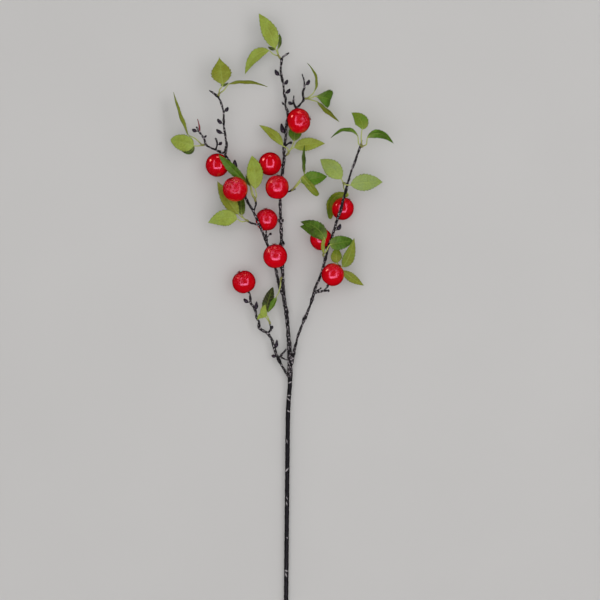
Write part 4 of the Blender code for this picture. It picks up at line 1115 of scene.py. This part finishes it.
class HawthornShape(bpy.types.PropertyGroup):
    """Sizes of the fine forms on the spray."""

    bark_relief: length("Bark relief", "Height of the lumps on stems and twigs", 0.00036)
    tape_lap: length("Tape lap", "Step at the edge of the tape round the stem", 0.00022)
    berry_relief: length("Berry grain", "Height of the grains round a berry's crown", 0.0002)
    leaf_thickness: length("Leaf thickness", "Thickness of a blade along its rib", 0.0005)
    vein_relief: length("Vein relief", "Height of a leaf's rib and veins", 0.00022)
    stalk_radius: length("Stalk radius", "Radius of a leaf stalk at the sleeve", 0.0007)
    tooth_depth: bpy.props.FloatProperty(name="Tooth depth", default=0.13, min=0.0, max=0.4,
                                         description="Depth of the leaf teeth over half the width")


class HawthornColours(bpy.types.PropertyGroup):
    """Colours of the finishes."""

    berry: colour("Berry", "Red of the berries", (0.68, 0.0, 0.006))
    # Pale pink specks on the tops of the berry grain: painted glints
    berry_glint: colour("Berry grain", "Sugary specks round the crown", (0.95, 0.08, 0.17))
    sepal: colour("Sepal", "Dry sepals of the crown", (0.2, 0.008, 0.01))
    leaf_dark: colour("Leaf, dark", "Darkest upper face", (0.025, 0.034, 0.005))
    leaf_green: colour("Leaf, green", "Green upper face", (0.098, 0.225, 0.014))
    leaf_olive: colour("Leaf, olive", "Olive blade", (0.215, 0.235, 0.016))
    leaf_pale: colour("Leaf, pale", "Pale underside", (0.295, 0.38, 0.055))
    leaf_milky: colour("Leaf, milky", "Palest underside, a little blue", (0.265, 0.355, 0.11))
    leaf_vein: colour("Leaf vein", "Ribs and veins", (0.36, 0.44, 0.1))
    leaf_rim: colour("Leaf rim", "Rim of a blade", (0.07, 0.085, 0.015))
    stalk: colour("Stalk", "Leaf stalks", (0.43, 0.5, 0.13))
    stalk_brown: colour("Stalk, brown", "Stalks at the sleeve", (0.13, 0.1, 0.035))
    bark: colour("Bark", "Bark of stems and twigs", (0.014, 0.011, 0.012))
    bark_speck: colour("Bark specks", "Pale specks on the bark", (0.43, 0.385, 0.41))
    tape: colour("Tape", "Tape round the stem", (0.008, 0.007, 0.008))
    # Pale grey marks at the listed places on the stem
    scuff: colour("Scuffs", "Scuffs on the tape's edges", (0.4, 0.37, 0.38))
    bud: colour("Bud", "Glossy buds", (0.01, 0.011, 0.016))
    floor: colour("Floor", "The pale floor", (0.6, 0.592, 0.584))


class HawthornStage(bpy.types.PropertyGroup):
    """Camera and light."""

    camera_height: length("Camera height", "Height of the camera over the floor", 3.0)
    field: length("Field", "Width of the picture at the height of the twigs", 0.6)
    field_height: length("Field height", "Height over the floor at which the field is measured", 0.012)
    window_power: brightness("Panel power", "the overhead panels that shine in the lacquer", 11.8)
    low_power: brightness("Low window power", "the two low windows", 30.0)
    key_power: brightness("Side light power", "the long light on the right", 6.0)
    soft_power: brightness("Soft light power", "the broad soft light", 2.9)
    fill: bpy.props.FloatProperty(name="Fill", description="Strength of the even fill light", default=0.5,
                                  min=0.0)
    shine: colour("Shine", "Colour of the panels that shine in the lacquer", (1.0, 0.6, 0.92))
    warm_shine: colour("Warm shine", "Colour of the low windows that shine in the lacquer",
                       (1.0, 0.6, 0.42))


class HAWTHORN_OT_main_stem(bpy.types.Operator):
    """Build the wrapped stem, its centre branch and its twigs"""

    bl_idname = "hawthorn.main_stem"
    bl_label = "Main stem"

    def execute(self, context):
        shape, colours = context.scene.hawthorn_shape, context.scene.hawthorn_colours
        knots = [stem_knot(down) for _, down, _ in MAIN_STEM]
        taped = [knot for knot in knots if knot[1] > TAPE_END_DOWN]
        taped.append(stem_knot(TAPE_END_DOWN - TAPE_OVERLAP))
        barked = [stem_knot(TAPE_END_DOWN)] + [knot for knot in knots if knot[1] < TAPE_END_DOWN]
        parts = [bark_tube(barked, shape.bark_relief, STEM_SIDES, MAIN_SEED)]
        for twig in MAIN_TWIGS:
            parts.append(bark_tube(twig, shape.bark_relief, TWIG_SIDES, MAIN_SEED + len(parts)))
        parts += [bud_shape(knob, k) for k, knob in enumerate(MAIN_KNOBS)]
        parts += pegs_on("main_stem", shape.bark_relief)
        make_piece("main_stem_bark", parts, bark_finish(colours), ["main_stem"])
        tape = taped_tube(taped, shape.tape_lap, STEM_SIDES)
        make_piece("main_stem_tape", [tape], tape_finish(colours))
        return {"FINISHED"}


class HAWTHORN_OT_branches(bpy.types.Operator):
    """Build the three side branches with their twigs"""

    bl_idname = "hawthorn.branches"
    bl_label = "Side branches"

    def execute(self, context):
        relief = context.scene.hawthorn_shape.bark_relief
        for index, (name, route) in enumerate(BRANCHES.items()):
            sides = [STEM_SIDES] + [TWIG_SIDES] * (len(route) - 1)
            parts = [bark_tube(twig, relief, count, BRANCH_SEED * (index + 1) + k)
                     for k, (twig, count) in enumerate(zip(route, sides))]
            parts += pegs_on(name, relief)
            make_piece(name + "_bark", parts, bpy.data.materials["bark"], [name])
        return {"FINISHED"}


class HAWTHORN_OT_buds(bpy.types.Operator):
    """Build the glossy buds on each stem, and the thin red shoot"""

    bl_idname = "hawthorn.buds"
    bl_label = "Buds"

    def execute(self, context):
        colours = context.scene.hawthorn_colours
        finish = bud_finish(colours)
        for name, buds in BUDS.items():
            make_piece(name, [bud_shape(bud, k) for k, bud in enumerate(buds)], finish)
        path, walked = smooth_path(place(WISP), STALK_STEP * MM)
        wisp = rounded_tube(path[:, :3], walked, path[:, 3:], STALK_SIDES)
        make_piece("far_left_wisp", [wisp], sepal_finish(colours))
        return {"FINISHED"}


class HAWTHORN_OT_berries(bpy.types.Operator):
    """Build the eleven lacquered berries and their crowns"""

    bl_idname = "hawthorn.berries"
    bl_label = "Berries"

    def execute(self, context):
        shape, colours = context.scene.hawthorn_shape, context.scene.hawthorn_colours
        lacquer, dry = berry_finish(colours), bpy.data.materials["dry_sepal"]
        for index, berry in enumerate(BERRIES):
            skin = berry_skin(berry, shape.berry_relief, BERRY_SEED + BERRY_SEED_STEP * index)
            make_piece(berry.name + "_skin", [skin], lacquer, [berry.name])
            crown = [sepal(berry, k) for k in range(SEPALS)]
            make_piece(berry.name + "_crown", crown, dry)
        return {"FINISHED"}


class HAWTHORN_OT_leaves(bpy.types.Operator):
    """Build the leaf sprigs: blades, stalks and sleeves"""

    bl_idname = "hawthorn.leaves"
    bl_label = "Leaf sprigs"

    def execute(self, context):
        shape, colours = context.scene.hawthorn_shape, context.scene.hawthorn_colours
        leaf, green = leaf_finish(colours), stalk_finish(colours)
        seed = 0
        for sprig in SPRIGS:
            blades, stalks = [], [socket_sleeve(sprig)]
            for spec in sprig.leaves:
                seed += 1
                blades.append(blade(spec, shape, seed))
                if spec.stalk is None:
                    continue
                route = place([sprig.end, *spec.stalk])
                route = np.concatenate([route, rib_point(spec, [0.0, STALK_OVERLAP])])
                stalks.append(stalk_tube(route, shape.stalk_radius, STALK_TAPER * shape.stalk_radius))
            make_piece(sprig.name + "_blades", blades, leaf, [sprig.name])
            make_piece(sprig.name + "_stalks", stalks, green)
        return {"FINISHED"}


class HAWTHORN_OT_stage(bpy.types.Operator):
    """Lay the floor and set the lights and the camera"""

    bl_idname = "hawthorn.stage"
    bl_label = "Stage"

    def execute(self, context):
        scene = context.scene
        lay_floor(scene)
        set_light(scene)
        set_camera(scene)
        return {"FINISHED"}


def lay_floor(scene):
    """A plain square floor just under the spray."""
    mesh = bpy.data.meshes.new("floor")
    corners = [(-1, -1), (1, -1), (1, 1), (-1, 1)]
    places = [(x * FLOOR_HALF, y * FLOOR_HALF, -FLOOR_DROP) for x, y in corners]
    mesh.from_pydata(places, [], [(0, 1, 2, 3)])
    mesh.materials.append(floor_finish(scene.hawthorn_colours))
    floor = bpy.data.objects.new("floor", mesh)
    scene.collection.objects.link(floor)
    floor.visible_glossy = False


def area_light(scene, name, centre, aim, width, height, power, shine=None, shadow=True):
    """A flat rectangular lamp that faces a point, with its width level. With a shine it is seen in
    glossy surfaces only, in that colour; without one it lights what is under it."""
    lamp = bpy.data.lights.new(name, "AREA")
    lamp.shape = "RECTANGLE"
    lamp.size = width
    lamp.size_y = height
    lamp.energy = power * width * height
    lamp.use_shadow = shadow
    if shine is not None:
        lamp.color = shine
    obj = bpy.data.objects.new(name, lamp)
    scene.collection.objects.link(obj)
    back = unit(np.subtract(centre, aim))
    level = (1.0, 0.0, 0.0) if abs(back[2]) > UPRIGHT else unit(np.cross((0.0, 0.0, 1.0), back))
    matrix = np.eye(4)
    matrix[:3] = np.stack([level, np.cross(back, level), back, centre], axis=1)
    obj.matrix_world = matrix.T.tolist()
    obj.visible_camera = False
    obj.visible_glossy = shine is not None
    obj.visible_diffuse = shine is None


def set_light(scene):
    """Three overhead panels in an open U, two low windows, a long side light, a broad soft light
    that fills the shadows and an even fill."""
    stage = scene.hawthorn_stage
    for name, (x, y, width, height, share) in PANELS.items():
        area_light(scene, name, (x, y, PANEL_HEIGHT), (x, y, 0.0), width, height,
                   stage.window_power * share, stage.shine)
    for name, (centre, width, height, share) in WINDOWS.items():
        area_light(scene, name, centre, WINDOW_AIM, width, height, stage.low_power * share,
                   stage.warm_shine)
    area_light(scene, "side_light", KEY_CENTRE, (*KEY_CENTRE[:2], 0.0), *KEY_SIZE, stage.key_power)
    area_light(scene, "soft_light", SOFT_CENTRE, (*SOFT_CENTRE[:2], 0.0), *SOFT_SIZE, stage.soft_power,
               shadow=False)
    world = bpy.data.worlds.new("fill")
    scene.world = world
    world.use_nodes = True
    sky = world.node_tree.nodes["Background"]
    sky.inputs["Color"].default_value = FILL_COLOUR
    sky.inputs["Strength"].default_value = stage.fill
    world.cycles_visibility.glossy = False
    scene.view_settings.view_transform = "Standard"


def set_camera(scene):
    """A long-lens camera looking straight down on the middle of the layout sheet."""
    stage = scene.hawthorn_stage
    data = bpy.data.cameras.new("camera")
    data.sensor_width = SENSOR
    data.lens = SENSOR * (stage.camera_height - stage.field_height) / stage.field
    data.clip_end = FARTHEST
    camera = bpy.data.objects.new("camera", data)
    scene.collection.objects.link(camera)
    camera.location = (*place(CAMERA_PLACE)[:2], stage.camera_height)
    scene.camera = camera


class VIEW3D_PT_hawthorn(bpy.types.Panel):
    """Buttons and settings of the spray"""

    bl_label = "Hawthorn berry spray"
    bl_idname = "VIEW3D_PT_hawthorn"
    bl_space_type = "VIEW_3D"
    bl_region_type = "UI"
    bl_category = "Hawthorn"

    def draw(self, context):
        scene = context.scene
        for operator in OPERATORS:
            self.layout.operator(operator.bl_idname)
        for group in (scene.hawthorn_shape, scene.hawthorn_colours, scene.hawthorn_stage):
            box = self.layout.box()
            for name in group.bl_rna.properties.keys():
                if name not in ("rna_type", "name"):
                    box.prop(group, name)


OPERATORS = (HAWTHORN_OT_main_stem, HAWTHORN_OT_branches, HAWTHORN_OT_buds, HAWTHORN_OT_berries,
             HAWTHORN_OT_leaves, HAWTHORN_OT_stage)
CLASSES = (HawthornShape, HawthornColours, HawthornStage, *OPERATORS, VIEW3D_PT_hawthorn)


def register():
    for item in CLASSES:
        bpy.utils.register_class(item)
    bpy.types.Scene.hawthorn_shape = bpy.props.PointerProperty(type=HawthornShape)
    bpy.types.Scene.hawthorn_colours = bpy.props.PointerProperty(type=HawthornColours)
    bpy.types.Scene.hawthorn_stage = bpy.props.PointerProperty(type=HawthornStage)


def unregister():
    del bpy.types.Scene.hawthorn_stage
    del bpy.types.Scene.hawthorn_colours
    del bpy.types.Scene.hawthorn_shape
    for item in reversed(CLASSES):
        bpy.utils.unregister_class(item)


def main():
    register()
    bpy.ops.hawthorn.main_stem()
    bpy.ops.hawthorn.branches()
    bpy.ops.hawthorn.buds()
    bpy.ops.hawthorn.berries()
    bpy.ops.hawthorn.leaves()
    bpy.ops.hawthorn.stage()
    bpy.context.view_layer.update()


if __name__ == "__main__":
    main()
